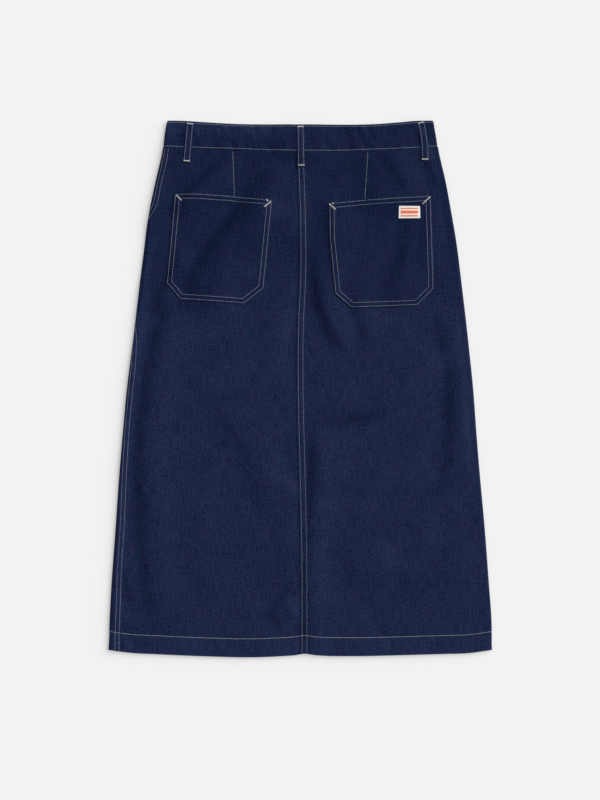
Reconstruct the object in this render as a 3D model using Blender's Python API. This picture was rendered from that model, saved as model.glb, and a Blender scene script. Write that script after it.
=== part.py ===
"""A-line denim skirt, laid flat on a surface with its back face up.

Frame: metres, +Z up from the surface, +Y towards the waist, +X to the right
of someone looking down at the back.  The origin is the bottom centre of the
skirt's box.  Sizes and tables are in millimetres.

The skirt is a tube of cloth pressed flat: its front lies on the surface, its
back lies on the front, and the cloth turns over at a soft fold down each
side.  Every piece is cut from that tube, so a place on it is given by
    across  x on the back face, running on as length of cloth round the folds
    y       height up the skirt
"""
import math

import bmesh
import bpy
import numpy as np
from mathutils import Vector
from mathutils.bvhtree import BVHTree

for old in list(bpy.data.objects):
    bpy.data.objects.remove(old, do_unlink=True)

MM = 0.001

# Cloth
CLOTH = 1.2             # one layer of denim
HEM_WALL = 2.4          # hem, turned up double on the inside
HEM_DEPTH = 28.0
HEM_STEP = 1.5          # height over which its wall thins to one layer
BAND_WALL = 1.8         # waistband, two layers pressed flat
BAND_PROUD = 0.6        # its step above the panels
SEAM_GAP = 0.3          # clearance between neighbouring pieces
LAP_WIDTH = 10.5        # raised band of a felled seam
LAP_PROUD = 0.9
LAP_RAMP = 2.5
LAP_FLATTENS = 2.5      # height below which a lap flattens out to the surface
FOLD_ROUNDNESS = 0.9    # a side fold's half width over its half height
SHELF_NEAR = 19.0       # from a fold's top: end of its slope down
SHELF_FAR = 50.0        # and the place where the middle's height is reached
LAYER_AIR = 0.4         # least air between the back and what is under it
HEM_EASE = 22.0         # lengths over which the back comes down from its
BAND_EASE = 26.0        # hem, from its waistband
OVERLAP_EASE = 34.0     # and from the waistband's overlapped ends

# Rolls, the folds in the back
ROLL_WHOLE = 1.5        # a roll's step is whole up to this many half widths
ROLL_REACH = 4.0        # and dies out at this many
ROLL_LIFT = 0.45        # it stands off the cloth by this share of its height,
ROLL_CREST = 0.5        # most of all up to this many half widths
ROLL_EASE = 60.0        # each end fades away over this length,
ROLL_EASE_MOST = 0.35   # or over this part of the run, if that is less
ROLL_STEPS = 8          # straight parts of its curve
CALM_NEAR = 3.0         # there is no roll up to this distance from a side fold,
CALM_FAR = 16.0         # and from this one on they have their whole height

# Front, hidden under the back
RIGHT_SEAM_IN = 14.0    # right side seam, in from the fold on the underside
FRONT_OPENING = 0.0     # x of the centre-front edge
BAND_OVERLAP = 20.0     # each waistband end passes the opening by this
UNDERLAP_RAMP = 24.0
BUTTON_RADIUS = 8.5
BUTTON_THICK = 1.2
BUTTON_Y = 356.5
BUTTON_RISE = BUTTON_THICK + SEAM_GAP
BUTTON_FLAT = 3.0       # the cloth over it is level for this far past its rim
BUTTON_SWELL = 20.0     # and comes down to this radius

# Pieces sewn on the back
POCKET_WALL = 1.4
LABEL_WALL = 1.0
LOOP_WALL = 1.4
LOOP_WIDTH = 10.0
LOOP_HUMP = 0.7         # slack in the middle of a belt loop
LOOP_STEPS = 10

# Mesh density
ACROSS_STEPS = 19       # strips of cloth between a side and the centre seam
FOLD_STEPS = 8
LEVELS = 39             # rows between the hem and the waist seam
HEM_LEVELS = (0.0, HEM_DEPTH / 2.0, HEM_DEPTH, HEM_DEPTH + HEM_STEP, HEM_DEPTH + 16.0)
BAND_LEVELS = (0.0, 0.28, 0.74, 0.93, 1.0)
BAND_STEPS = 26
UNDER_STEPS = 5         # strips between a side fold and the centre front
LAP_STEPS = 6

DENIM_COLOUR = (0.011, 0.019, 0.069, 1.0)
LABEL_COLOUR = (0.83, 0.83, 0.79, 1.0)
BUTTON_COLOUR = (0.55, 0.35, 0.20, 1.0)


def table(columns, *rows):
    """Named columns of a short table, a row of numbers for each section."""
    return dict(zip(columns.split(), np.array(rows, dtype=float).T))


# Where the two side folds lie and how high the cloth stands: at each fold,
# on the shelf just inside it, and in the middle.
SECTIONS = table(
    "y left right left_fold left_shelf middle right_shelf right_fold",
    (-371.0, -272.0, 272.0, 6.0, 5.7, 5.7, 5.7, 6.0),
    (-341.0, -271.0, 271.9, 6.0, 5.5, 5.7, 5.6, 6.0),
    (-318.0, -270.0, 270.9, 5.6, 4.6, 5.3, 5.2, 5.8),
    (-285.0, -268.2, 268.4, 5.4, 4.3, 5.2, 5.2, 5.6),
    (-200.0, -262.1, 262.0, 5.3, 4.1, 5.2, 5.1, 5.6),
    (-115.0, -256.2, 254.3, 5.3, 4.0, 5.2, 5.1, 5.6),
    (-58.0, -251.3, 249.7, 5.3, 3.9, 5.2, 5.4, 5.8),
    (-1.0, -246.0, 245.5, 5.4, 3.7, 5.2, 5.4, 5.8),
    (55.0, -239.0, 239.8, 5.4, 3.7, 5.1, 5.3, 5.8),
    (105.0, -233.0, 234.3, 5.4, 3.8, 5.0, 5.2, 5.8),
    (155.0, -227.0, 228.3, 5.4, 4.0, 5.0, 5.0, 5.6),
    (197.0, -221.6, 223.2, 5.6, 4.2, 5.0, 5.3, 5.5),
    (225.0, -218.4, 218.9, 5.8, 4.4, 5.0, 5.4, 5.5),
    (254.0, -213.8, 213.8, 5.8, 4.5, 5.0, 5.4, 5.6),
    (297.0, -204.6, 205.8, 5.8, 4.7, 5.1, 5.1, 5.8),
    (332.0, -196.5, 197.6, 6.0, 5.0, 5.2, 5.2, 6.0),
    (361.0, -191.8, 192.4, 6.0, 5.2, 5.2, 5.2, 6.0),
    (371.0, -190.4, 190.6, 6.0, 5.2, 5.2, 5.2, 6.0),
    (377.0, -189.5, 189.6, 5.8, 5.2, 5.2, 5.2, 5.8),
    (380.4, -188.7, 188.4, 5.6, 5.2, 5.2, 5.2, 5.6),
)

# The hem edge, the seam that joins the waistband, and the top edge, by how
# far across they are: -1 at the left fold, 1 at the right fold.
EDGES = table(
    "part hem seam top",
    (-1.00, -370.2, 343.0, 380.4),
    (-0.90, -373.9, 342.5, 380.2),
    (-0.75, -376.1, 341.4, 378.5),
    (-0.60, -378.0, 340.6, 376.8),
    (-0.45, -379.4, 339.6, 375.5),
    (-0.28, -380.4, 338.3, 375.1),
    (-0.10, -378.8, 337.3, 375.0),
    (-0.02, -377.2, 337.0, 374.9),
    (0.02, -375.4, 337.0, 374.9),
    (0.08, -377.3, 337.0, 374.9),
    (0.30, -378.7, 337.2, 374.7),
    (0.45, -378.0, 338.2, 374.8),
    (0.60, -376.9, 339.0, 375.9),
    (0.75, -375.7, 340.0, 378.0),
    (0.90, -374.2, 341.9, 380.3),
    (1.00, -370.2, 343.0, 380.4),
)

# Centre-back seam: the middle of its twin rows of stitching.
CENTRE_SEAM = table(
    "y x",
    (-380.0, 6.0), (-257.0, 5.9), (-115.0, 3.4), (-16.0, 1.0), (91.0, 1.2),
    (162.0, 4.3), (261.0, 3.6), (315.0, 1.7), (345.0, 1.2),
)

# Left side seam: length of cloth from the fold's outermost line to its edge.
SIDE_SEAM = table(
    "y arc",
    (-371.0, 18.6), (-257.0, 16.3), (-129.0, 13.9), (-16.0, 11.6), (41.0, 9.8),
    (85.0, 7.2), (150.0, 4.6), (215.0, 4.6), (250.0, 8.0), (271.0, 10.8), (297.0, 12.4),
    (345.0, 11.6),
)

# Largest folds in the back.  A roll is a soft step on a curve through three
# places: the cloth is high on the right of the curve's run and low on its
# left, or the other way round where its height is negative.
ROLLS = table(
    "x1 y1 x2 y2 x3 y3 half_width height",
    (-170.0, 104.0, -120.0, 210.0, -28.0, 314.0, 21.0, 6.2),
    (-188.0, 256.0, -146.0, 292.0, -80.0, 342.0, 15.0, 4.0),
    (-220.0, 108.0, -190.0, 160.0, -174.0, 226.0, 17.0, 3.4),
    (-206.0, -350.0, -230.0, -94.0, -190.0, 126.0, 17.0, 2.4),
    (2.0, -150.0, -22.0, -128.0, -56.0, -112.0, 20.0, -2.0),
    (-20.0, 0.0, -22.0, 70.0, -13.0, 138.0, 15.0, -1.4),
    (74.0, 50.0, 30.0, 104.0, 18.0, 222.0, 16.0, 3.2),
    (8.0, -392.0, 10.0, -214.0, 22.0, -26.0, 15.0, 2.0),
    (46.0, 130.0, 40.0, 212.0, 24.0, 296.0, 15.0, 1.2),
    (112.0, 116.0, 139.0, 180.0, 156.0, 268.0, 16.0, 1.6),
    (66.0, 230.0, 58.0, 290.0, 44.0, 354.0, 27.0, 1.9),
    (212.0, 66.0, 158.0, -14.0, 20.0, -50.0, 16.0, 4.4),
    (198.0, -160.0, 211.0, -20.0, 188.0, 122.0, 16.0, 2.1),
)

# Corners of the two patch pockets, clockwise from the top left.
LEFT_POCKET = table(
    "x y",
    (-178.0, 277.2), (-142.0, 277.2), (-104.0, 275.0), (-38.8, 267.4),
    (-51.3, 142.3), (-79.4, 120.4), (-170.1, 126.7), (-189.9, 150.1),
)
RIGHT_POCKET = table(
    "x y",
    (40.4, 264.1), (92.0, 269.0), (185.4, 274.6), (189.7, 142.0),
    (166.2, 118.0), (72.7, 114.6), (49.0, 134.8), (41.0, 214.0),
)
LABEL = table(
    "x y",
    (139.8, 259.1), (169.5, 258.9), (170.0, 241.9), (139.4, 241.7),
)

# Belt loops: the middle line of each, from its top end down.
LEFT_LOOP = table("x y", (-155.8, 377.6), (-158.2, 352.0), (-161.0, 321.5))
CENTRE_LOOP = table("x y", (0.4, 373.6), (0.8, 350.0), (1.4, 315.6))
RIGHT_LOOP = table("x y", (171.0, 379.0), (175.6, 352.0), (176.8, 323.6))


def along(rows, column, place):
    """Smooth value of a table's column, looked up by its first column."""
    keys = next(iter(rows.values()))
    values = rows[column]
    slopes = np.gradient(values, keys)
    low = np.clip(np.searchsorted(keys, place) - 1, 0, len(keys) - 2)
    span = keys[low + 1] - keys[low]
    t = np.clip((place - keys[low]) / span, 0.0, 1.0)
    return (
        values[low] * (1.0 + 2.0 * t) * (1.0 - t) ** 2
        + values[low + 1] * t * t * (3.0 - 2.0 * t)
        + slopes[low] * span * t * (1.0 - t) ** 2
        - slopes[low + 1] * span * t * t * (1.0 - t)
    )


def fade(distance, start, end):
    """1 up to start, falling smoothly to 0 at end."""
    t = np.clip((distance - start) / (end - start), 0.0, 1.0)
    return 1.0 - t * t * (3.0 - 2.0 * t)


# ---------------------------------------------------------------- the tube

def fold_sizes(side, y):
    """Half height, half width and length of cloth of a side fold."""
    half_height = along(SECTIONS, side + "_fold", y) / 2.0
    half_width = half_height * FOLD_ROUNDNESS
    return half_height, half_width, math.pi * (half_height + half_width) / 2.0


def left_turn(y):
    """x where the back face starts to turn over the left fold."""
    return along(SECTIONS, "left", y) + fold_sizes("left", y)[1]


def right_turn(y):
    """x where the back face starts to turn over the right fold."""
    return along(SECTIONS, "right", y) - fold_sizes("right", y)[1]


def side_folds(across, y):
    """For each side: its sign, how far round it, and its sizes."""
    for outward, side, turn in ((-1.0, "left", left_turn(y)), (1.0, "right", right_turn(y))):
        half_height, half_width, length = fold_sizes(side, y)
        yield outward, turn, (across - turn) * outward, half_height, half_width, length


def laid_x(across, y):
    """x of a place on the cloth once it is turned over the folds."""
    x = np.array(across, dtype=float)
    for outward, turn, past, _, half_width, length in side_folds(across, y):
        angle = math.pi * np.clip(past / length, 0.0, 1.0)
        x = np.where(past > 0.0, turn + outward * half_width * np.sin(angle), x)
        x = np.where(past > length, turn - outward * (past - length), x)
    return x


def part_across(across, y):
    """-1 on the left fold, 1 on the right fold, the same above and below."""
    left, right = left_turn(y), right_turn(y)
    return np.clip((2.0 * laid_x(across, y) - left - right) / (right - left), -1.0, 1.0)


def from_curve(x1, y1, x2, y2, x3, y3, x, y):
    """Distance off a curve, right of its run positive, and 0 to 1 along it."""
    steps = np.linspace(0.0, 1.0, ROLL_STEPS + 1)
    start, bend, end = (1.0 - steps) ** 2, 2.0 * steps * (1.0 - steps), steps ** 2
    path_x = start * x1 + bend * (2.0 * x2 - (x1 + x3) / 2.0) + end * x3
    path_y = start * y1 + bend * (2.0 * y2 - (y1 + y3) / 2.0) + end * y3
    nearest = np.full_like(x, np.inf)
    along_it = np.zeros_like(x)
    for i in range(ROLL_STEPS):
        run_x, run_y = path_x[i + 1] - path_x[i], path_y[i + 1] - path_y[i]
        off_x, off_y = x - path_x[i], y - path_y[i]
        t = np.clip((off_x * run_x + off_y * run_y) / (run_x ** 2 + run_y ** 2), 0.0, 1.0)
        away = np.hypot(off_x - t * run_x, off_y - t * run_y)
        away = np.where(off_x * run_y > off_y * run_x, away, -away)
        closer = np.abs(away) < np.abs(nearest)
        along_it = np.where(closer, (i + t) / ROLL_STEPS, along_it)
        nearest = np.where(closer, away, nearest)
    return nearest, along_it


def roll_height(x, y):
    """Sum of the rolls at a place on the back."""
    total = np.zeros_like(x)
    for x1, y1, x2, y2, x3, y3, half_width, height in zip(*ROLLS.values()):
        away, along_it = from_curve(x1, y1, x2, y2, x3, y3, x, y)
        away = away / half_width
        step = 2.0 * away / (1.0 + away * away) * fade(np.abs(away), ROLL_WHOLE, ROLL_REACH)
        lift = ROLL_LIFT * fade(np.abs(away), ROLL_CREST, ROLL_REACH)
        ease = min(ROLL_EASE / math.hypot(x3 - x1, y3 - y1), ROLL_EASE_MOST)
        ends = 1.0 - fade(np.minimum(along_it, 1.0 - along_it), 0.0, ease)
        total = total + height * ends * (step + lift)
    return total


def button_swell(x, y):
    """How far the waistband front stands up over its button."""
    away = np.hypot(x - FRONT_OPENING, y - BUTTON_Y)
    return BUTTON_RISE * fade(away, BUTTON_RADIUS + BUTTON_FLAT, BUTTON_SWELL)


def underlap_lift(x, y):
    """Height of the waistband end that lies under the back, on the other end."""
    ramp = 1.0 - fade(x, -BAND_OVERLAP - UNDERLAP_RAMP, -BAND_OVERLAP)
    return (BAND_WALL + SEAM_GAP) * ramp + button_swell(x, y)


def least_height(x, y):
    """Lowest that the back can lie on what is under it."""
    part = part_across(x, y)
    above_hem = y - along(EDGES, "hem", part)
    below_seam = along(EDGES, "seam", part) - y
    hem = 2.0 * (HEM_WALL - CLOTH) * fade(above_hem, HEM_DEPTH + 3.0, HEM_DEPTH + HEM_EASE)
    overlap = fade(np.abs(x - FRONT_OPENING), BAND_OVERLAP + 4.0, BAND_OVERLAP + OVERLAP_EASE)
    from_button = np.hypot(x - FRONT_OPENING, y - BUTTON_Y)
    band = BAND_WALL - CLOTH + (BAND_WALL + SEAM_GAP) * overlap
    band += BUTTON_RISE * fade(from_button, BUTTON_SWELL, 3.0 * BUTTON_SWELL)
    return 2.0 * CLOTH + LAYER_AIR + hem + band * fade(below_seam, 1.0, BAND_EASE)


def back_height(x, y):
    """Height of the back face before anything is sewn on it."""
    from_left, from_right = x - left_turn(y), right_turn(y) - x
    height = along(SECTIONS, "middle", y)
    for side, inward in (("left", from_left), ("right", from_right)):
        shelf = along(SECTIONS, side + "_shelf", y)
        fold = along(SECTIONS, side + "_fold", y)
        height = height + (shelf - along(SECTIONS, "middle", y)) * fade(inward, SHELF_NEAR, SHELF_FAR)
        height = height + (fold - shelf) * fade(inward, 0.0, SHELF_NEAR)
    inside = 1.0 - fade(np.minimum(from_left, from_right), CALM_NEAR, CALM_FAR)
    return np.maximum(height + roll_height(x, y) * inside, least_height(x, y))


def lay(across, y, step=0.0, left_lift=None, right_lift=None):
    """Points of the tube; step raises the back, lifts raise the underside."""
    x, left, right = laid_x(across, y), left_turn(y), right_turn(y)
    z = back_height(np.clip(across, left, right), y) + step
    lifts = left_lift, right_lift
    for (_, _, past, half_height, _, length), lift in zip(side_folds(across, y), lifts):
        turned = (half_height + step / 2.0) * (1.0 + np.cos(math.pi * past / length))
        z = np.where(past > 0.0, turned, z)
        z = np.where(past > length, lift(x, y) if lift else 0.0, z)
    return np.stack((x, y, z), axis=-1)


def outward_normals(across, y, **how):
    """Unit normals of the tube's level sections, pointing out of it."""
    step = 0.02
    run = lay(across + step, y, **how) - lay(across - step, y, **how)
    normals = np.stack((-run[..., 2], 0.0 * y, run[..., 0]), axis=-1)
    return normals / np.linalg.norm(normals, axis=-1, keepdims=True)


# ------------------------------------------------------- places on the tube

def centre_seam(y):
    """Edge where the left back laps the right back."""
    return along(CENTRE_SEAM, "x", y) + LAP_WIDTH / 2.0


def side_seam(y):
    """Edge where the front laps the left back, near the left fold."""
    length = fold_sizes("left", y)[2]
    return left_turn(y) - length / 2.0 + along(SIDE_SEAM, "arc", y)


def left_bottom(y):
    """Where the left fold comes down on to the surface."""
    return left_turn(y) - fold_sizes("left", y)[2]


def right_bottom(y):
    """Where the right fold comes down on to the surface."""
    return right_turn(y) + fold_sizes("right", y)[2]


def right_seam(y):
    """Right side seam, on the underside."""
    return right_bottom(y) + RIGHT_SEAM_IN


def under_from_left(x):
    """A place on the underside, reached round the left fold."""
    return lambda y: left_bottom(y) - (x - left_turn(y))


def under_from_right(x):
    """A place on the underside, reached round the right fold."""
    return lambda y: right_bottom(y) + (right_turn(y) - x)


def moved(edge, distance):
    """An edge moved along the cloth."""
    return lambda y: edge(y) + distance


def net(anchors, steps, low, high, share, rise):
    """Places across and up the cloth, for each row and column of a grid.

    Row heights go from the low edge to the high one by share, plus rise.
    """
    spread = [(i, j / steps[i]) for i in range(len(steps)) for j in range(steps[i])]
    spread.append((len(steps) - 1, 1.0))
    y = np.zeros((len(share), len(spread)))
    for _ in range(4):
        columns = []
        for column, (i, way) in enumerate(spread):
            height = y[:, column]
            columns.append(anchors[i](height) * (1.0 - way) + anchors[i + 1](height) * way)
        across = np.stack(columns, axis=1)
        part = part_across(across, y)
        bottom, top = along(EDGES, low, part), along(EDGES, high, part)
        y = bottom + (top - bottom) * share[:, None] + rise[:, None]
    return across, y


def panel_net(*anchors_and_steps):
    """Rows of a panel: close together where the hem ends inside."""
    even = np.linspace(0.0, 1.0, LEVELS)
    share = np.concatenate((np.zeros(len(HEM_LEVELS) - 1), even))
    rise = np.concatenate((HEM_LEVELS[:-1], HEM_LEVELS[-1] * (1.0 - even)))
    return net(anchors_and_steps[0::2], anchors_and_steps[1::2], "hem", "seam", share, rise)


def band_net(*anchors_and_steps):
    """Rows of the waistband, from its seam to the top edge."""
    share = np.array(BAND_LEVELS)
    rise = SEAM_GAP * (1.0 - share)
    return net(anchors_and_steps[0::2], anchors_and_steps[1::2], "seam", "top", share, rise)


# -------------------------------------------------------------- the solids

def material(name, colour, roughness, metallic=0.0):
    """Principled material in the piece's own colour."""
    made = bpy.data.materials.new(name)
    made.use_nodes = True
    shader = made.node_tree.nodes["Principled BSDF"]
    shader.inputs["Base Color"].default_value = colour
    shader.inputs["Roughness"].default_value = roughness
    shader.inputs["Metallic"].default_value = metallic
    made.diffuse_color = colour
    return made


def add_object(name, bm, made):
    """Link a closed mesh, in metres, with its faces pointing out."""
    bmesh.ops.recalc_face_normals(bm, faces=bm.faces)
    bmesh.ops.scale(bm, vec=Vector((MM, MM, MM)), verts=bm.verts)
    mesh = bpy.data.meshes.new(name)
    bm.to_mesh(mesh)
    bm.free()
    mesh.materials.append(made)
    obj = bpy.data.objects.new(name, mesh)
    bpy.context.collection.objects.link(obj)
    return obj


def grid_mesh(points):
    """Open triangulated sheet through rows and columns of points."""
    rows, columns = points.shape[:2]
    bm = bmesh.new()
    bmesh.ops.create_grid(bm, x_segments=columns - 1, y_segments=rows - 1, size=1.0)
    for vertex, point in zip(bm.verts, points.reshape(-1, 3)):
        vertex.co = point
    bmesh.ops.triangulate(bm, faces=bm.faces)
    return bm


def close_wall(bm, opposite):
    """Turn a sheet into a wall, whose other side has the opposite points."""
    keys = bm.verts.layers.int.new("key")
    for i, vertex in enumerate(bm.verts):
        vertex[keys] = i
    made = bmesh.ops.extrude_face_region(bm, geom=bm.faces[:])
    for vertex in made["geom"]:
        if isinstance(vertex, bmesh.types.BMVert):
            vertex.co = opposite[vertex[keys]]
    return bm


def lowered(bm, depth):
    """Points of a sheet, moved straight down."""
    return [vertex.co - Vector((0.0, 0.0, depth)) for vertex in bm.verts]


def cloth_wall(name, places, made, wall, lap=None, **how):
    """A piece of the tube: inner face inside it, outer face raised by a lap."""
    across, y = places
    base, normals = lay(across, y, **how), outward_normals(across, y, **how)
    inner = (base - normals * np.broadcast_to(wall, y.shape)[..., None]).reshape(-1, 3)
    outer = base.copy()
    if lap:
        outer[..., 2] += lap(across, y) * np.clip(base[..., 2] / LAP_FLATTENS, 0.0, 1.0)
    sheet = grid_mesh(outer)
    surface = sheet.copy()
    add_object(name, close_wall(sheet, inner), made)
    return surface


def panel_wall(across, y):
    """Thickness of a panel: the hem is turned up double."""
    above_hem = y - along(EDGES, "hem", part_across(across, y))
    return CLOTH + (HEM_WALL - CLOTH) * (above_hem < HEM_DEPTH + HEM_STEP / 2.0)


def centre_lap(across, y):
    """The left back's raised edge along the centre-back seam."""
    return LAP_PROUD * fade(centre_seam(y) - across, LAP_WIDTH, LAP_WIDTH + LAP_RAMP)


def side_lap(across, y):
    """The front's raised edge along the left side seam."""
    return LAP_PROUD * fade(side_seam(y) - across, LAP_WIDTH, LAP_WIDTH + LAP_RAMP)


def cut_to_outline(surface, corners):
    """Copy of a surface, cut by an upright plane along each side."""
    bm = surface.copy()
    outline = list(zip(corners["x"], corners["y"]))
    for (x1, y1), (x2, y2) in zip(outline, outline[1:] + outline[:1]):
        bmesh.ops.bisect_plane(
            bm,
            geom=bm.verts[:] + bm.edges[:] + bm.faces[:],
            dist=0.01,
            plane_co=(x1, y1, 0.0),
            plane_no=(y1 - y2, x2 - x1, 0.0),
            clear_outer=True,
        )
    return bm


def patch(name, surface, corners, thickness, made):
    """A piece lying on a surface, made from its points moved up."""
    bm = cut_to_outline(surface, corners)
    bmesh.ops.triangulate(bm, faces=bm.faces)
    bmesh.ops.translate(bm, vec=(0.0, 0.0, SEAM_GAP + thickness), verts=bm.verts)
    top = bm.copy()
    add_object(name, close_wall(bm, lowered(bm, thickness)), made)
    return top


def height_under(surfaces, row):
    """Highest point of some surfaces below a row of places."""
    down = Vector((0.0, 0.0, -1.0))
    hits = [surface.ray_cast(Vector((x, y, 50.0)), down)[0] for x, y in row for surface in surfaces]
    return max(hit.z for hit in hits if hit)


def belt_loop(name, surfaces, line, made):
    """A strip tacked down at both ends and slack between them."""
    steps = np.linspace(0.0, 1.0, 2 * LOOP_STEPS + 1)[:, None]
    middle = np.stack((line["x"], line["y"]), axis=-1)
    control = 2.0 * middle[1] - (middle[0] + middle[2]) / 2.0
    path = middle[0] * (1 - steps) ** 2 + control * 2 * steps * (1 - steps) + middle[2] * steps ** 2
    heading = np.gradient(path, axis=0)
    sideways = np.stack((-heading[:, 1], heading[:, 0]), axis=-1)
    sideways /= np.linalg.norm(sideways, axis=-1, keepdims=True)
    offsets = np.linspace(-0.5, 0.5, 4)[None, :, None] * LOOP_WIDTH
    flat = path[:, None, :] + sideways[:, None, :] * offsets
    under = np.array([height_under(surfaces, row) for row in flat])
    padded = np.pad(under, 1, mode="edge")
    under = np.maximum(under, np.maximum(padded[:-2], padded[2:]))[::2]
    hump = LOOP_HUMP * np.sin(math.pi * steps[::2]) ** 2
    top = under[:, None] + SEAM_GAP + hump + LOOP_WALL + np.zeros(flat[::2].shape[:2])
    bm = grid_mesh(np.concatenate((flat[::2], top[..., None]), axis=-1))
    add_object(name, close_wall(bm, lowered(bm, LOOP_WALL)), made)


denim = material("denim", DENIM_COLOUR, 0.9)
label_cloth = material("label_cloth", LABEL_COLOUR, 0.8)
button_metal = material("button_metal", BUTTON_COLOUR, 0.35, 0.9)

half_gap = SEAM_GAP / 2.0
lap_foot = LAP_WIDTH + LAP_RAMP

# Back: two panels joined by a felled seam down the centre
places = panel_net(
    moved(side_seam, half_gap), 2,
    moved(side_seam, SHELF_NEAR), ACROSS_STEPS,
    moved(centre_seam, -lap_foot), 1,
    moved(centre_seam, -LAP_WIDTH), 2,
    moved(centre_seam, -half_gap),
)
left_back = cloth_wall("back_left", places, denim, panel_wall(*places), centre_lap)

places = panel_net(
    moved(centre_seam, half_gap), ACROSS_STEPS,
    moved(right_turn, -SHELF_NEAR), 2,
    right_turn, FOLD_STEPS,
    right_bottom, 1,
    moved(right_seam, -half_gap),
)
right_back = cloth_wall("back_right", places, denim, panel_wall(*places))

# Front: two panels that meet at the centre-front opening; the left one turns
# over the fold and laps the back, the right one ends on the underside
places = panel_net(
    under_from_left(FRONT_OPENING - half_gap), UNDER_STEPS,
    lambda y: np.minimum(left_bottom(y), side_seam(y) - lap_foot) - 1.5, 3,
    moved(side_seam, -lap_foot), 1,
    moved(side_seam, -LAP_WIDTH), LAP_STEPS,
    moved(side_seam, -half_gap),
)
cloth_wall("front_left", places, denim, panel_wall(*places), side_lap)

places = panel_net(
    moved(right_seam, half_gap), UNDER_STEPS,
    under_from_right(FRONT_OPENING + half_gap),
)
cloth_wall("front_right", places, denim, panel_wall(*places))

# Waistband: one strip round the waist, its ends overlapping at the front
places = band_net(
    under_from_left(BAND_OVERLAP), 6,
    under_from_left(-BAND_OVERLAP), 3,
    under_from_left(-BAND_OVERLAP - UNDERLAP_RAMP), 4,
    left_bottom, FOLD_STEPS,
    left_turn, BAND_STEPS,
    right_turn, FOLD_STEPS,
    right_bottom, UNDER_STEPS,
    under_from_right(BAND_OVERLAP), 6,
    under_from_right(-BAND_OVERLAP),
)
band = cloth_wall("waistband", places, denim, BAND_WALL,
                  step=BAND_PROUD, left_lift=underlap_lift, right_lift=button_swell)

# Button that closes the waistband, face down on the surface
bm = bmesh.new()
bmesh.ops.create_cone(bm, cap_ends=True, segments=32, radius1=BUTTON_RADIUS, radius2=BUTTON_RADIUS,
                      depth=BUTTON_THICK)
rim = [edge for edge in bm.edges if abs(edge.verts[0].co.z - edge.verts[1].co.z) < 1e-6]
bmesh.ops.bevel(bm, geom=rim, offset=0.35, segments=2, profile=0.5, affect="EDGES", material=-1)
bmesh.ops.translate(bm, vec=(FRONT_OPENING, BUTTON_Y, BUTTON_THICK / 2.0), verts=bm.verts)
add_object("waist_button", bm, button_metal)

# Patch pockets on the back, and the label on the right one
patch("pocket_left", left_back, LEFT_POCKET, POCKET_WALL, denim)
pocket_top = patch("pocket_right", right_back, RIGHT_POCKET, POCKET_WALL, denim)
patch("pocket_label", pocket_top, LABEL, LABEL_WALL, label_cloth)

# Belt loops over the waistband
backs = [BVHTree.FromBMesh(surface) for surface in (left_back, right_back, band)]
belt_loop("belt_loop_left", backs, LEFT_LOOP, denim)
belt_loop("belt_loop_centre", backs, CENTRE_LOOP, denim)
belt_loop("belt_loop_right", backs, RIGHT_LOOP, denim)
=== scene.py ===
"""A-line denim skirt, laid flat on a table with its back face up.

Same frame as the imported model: metres, +Z up from the table, +Y towards the
waist, +X to the right of someone looking down at the back.  The sizes below
are in millimetres, and a place on the cloth is given by
    across  x on the back face, running on as length of cloth round the folds
    y       height up the skirt
"""
import math

import bmesh
import bpy
import numpy as np
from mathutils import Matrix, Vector


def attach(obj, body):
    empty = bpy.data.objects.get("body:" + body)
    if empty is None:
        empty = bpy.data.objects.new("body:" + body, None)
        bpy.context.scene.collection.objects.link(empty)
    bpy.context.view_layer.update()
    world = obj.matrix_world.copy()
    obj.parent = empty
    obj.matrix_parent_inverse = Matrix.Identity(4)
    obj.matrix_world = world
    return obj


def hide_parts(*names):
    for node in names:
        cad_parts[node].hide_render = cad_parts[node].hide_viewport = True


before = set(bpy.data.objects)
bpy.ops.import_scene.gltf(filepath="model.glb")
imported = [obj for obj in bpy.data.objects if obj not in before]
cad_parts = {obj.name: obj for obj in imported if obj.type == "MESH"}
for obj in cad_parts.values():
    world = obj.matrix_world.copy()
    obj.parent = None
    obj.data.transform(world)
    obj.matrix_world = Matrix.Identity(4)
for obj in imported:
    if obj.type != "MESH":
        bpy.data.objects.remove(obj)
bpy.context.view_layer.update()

# ------------------------------------------------------------ tube of denim
# The skirt is one tube of 13.5 oz indigo denim.  Laid down, its front lies
# on the table and its back on the front, and the cloth turns over at a soft
# fold down each side.  Every piece below is cut from this tube.
CLOTH = 0.9             # one layer of denim
HEM_WALL = 2.0          # hem, turned up double on the inside
HEM_DEPTH = 28.0
BAND_WALL = 1.7         # waistband, two layers pressed flat
UNDERSIDE = 0.3         # the front's outer face, on the slubs and stitches it rests on
JOINT = 0.1             # air between neighbouring pieces
FOLD_ROUNDNESS = 0.9    # a side fold's half width over its half height
SHELF_NEAR = 19.0       # from a fold's top: end of its slope down
SHELF_FAR = 50.0        # and the place where the middle's height is reached
FOLD_EASE = (3.0, 16.0)     # rolls and creases grow to full height between these, in from it
LAYER_AIR = 0.8         # least air between the back and what is under it
HEM_EASE = (3.0, 22.0)      # the back comes down from over the hem between these,
BAND_EASE = (1.0, 26.0)     # from under the waistband,
OVERLAP_EASE = (4.0, 34.0)  # beside its overlapped ends
BUTTON_EASE = (20.0, 60.0)  # and round its button
LANDING = 0.4           # how gradually the back comes down on what is under it
FRONT_OPENING = 0.0     # x of the centre-front edge
BAND_OVERLAP = 20.0     # each waistband end passes the opening by this
BUTTON_Y = 356.5
BUTTON_RISE = 1.5       # the waistband end rises over its button by this


def table(columns, *rows):
    """Named columns of a short table, from its rows of numbers."""
    return dict(zip(columns.split(), np.array(rows, dtype=float).T))


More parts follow.
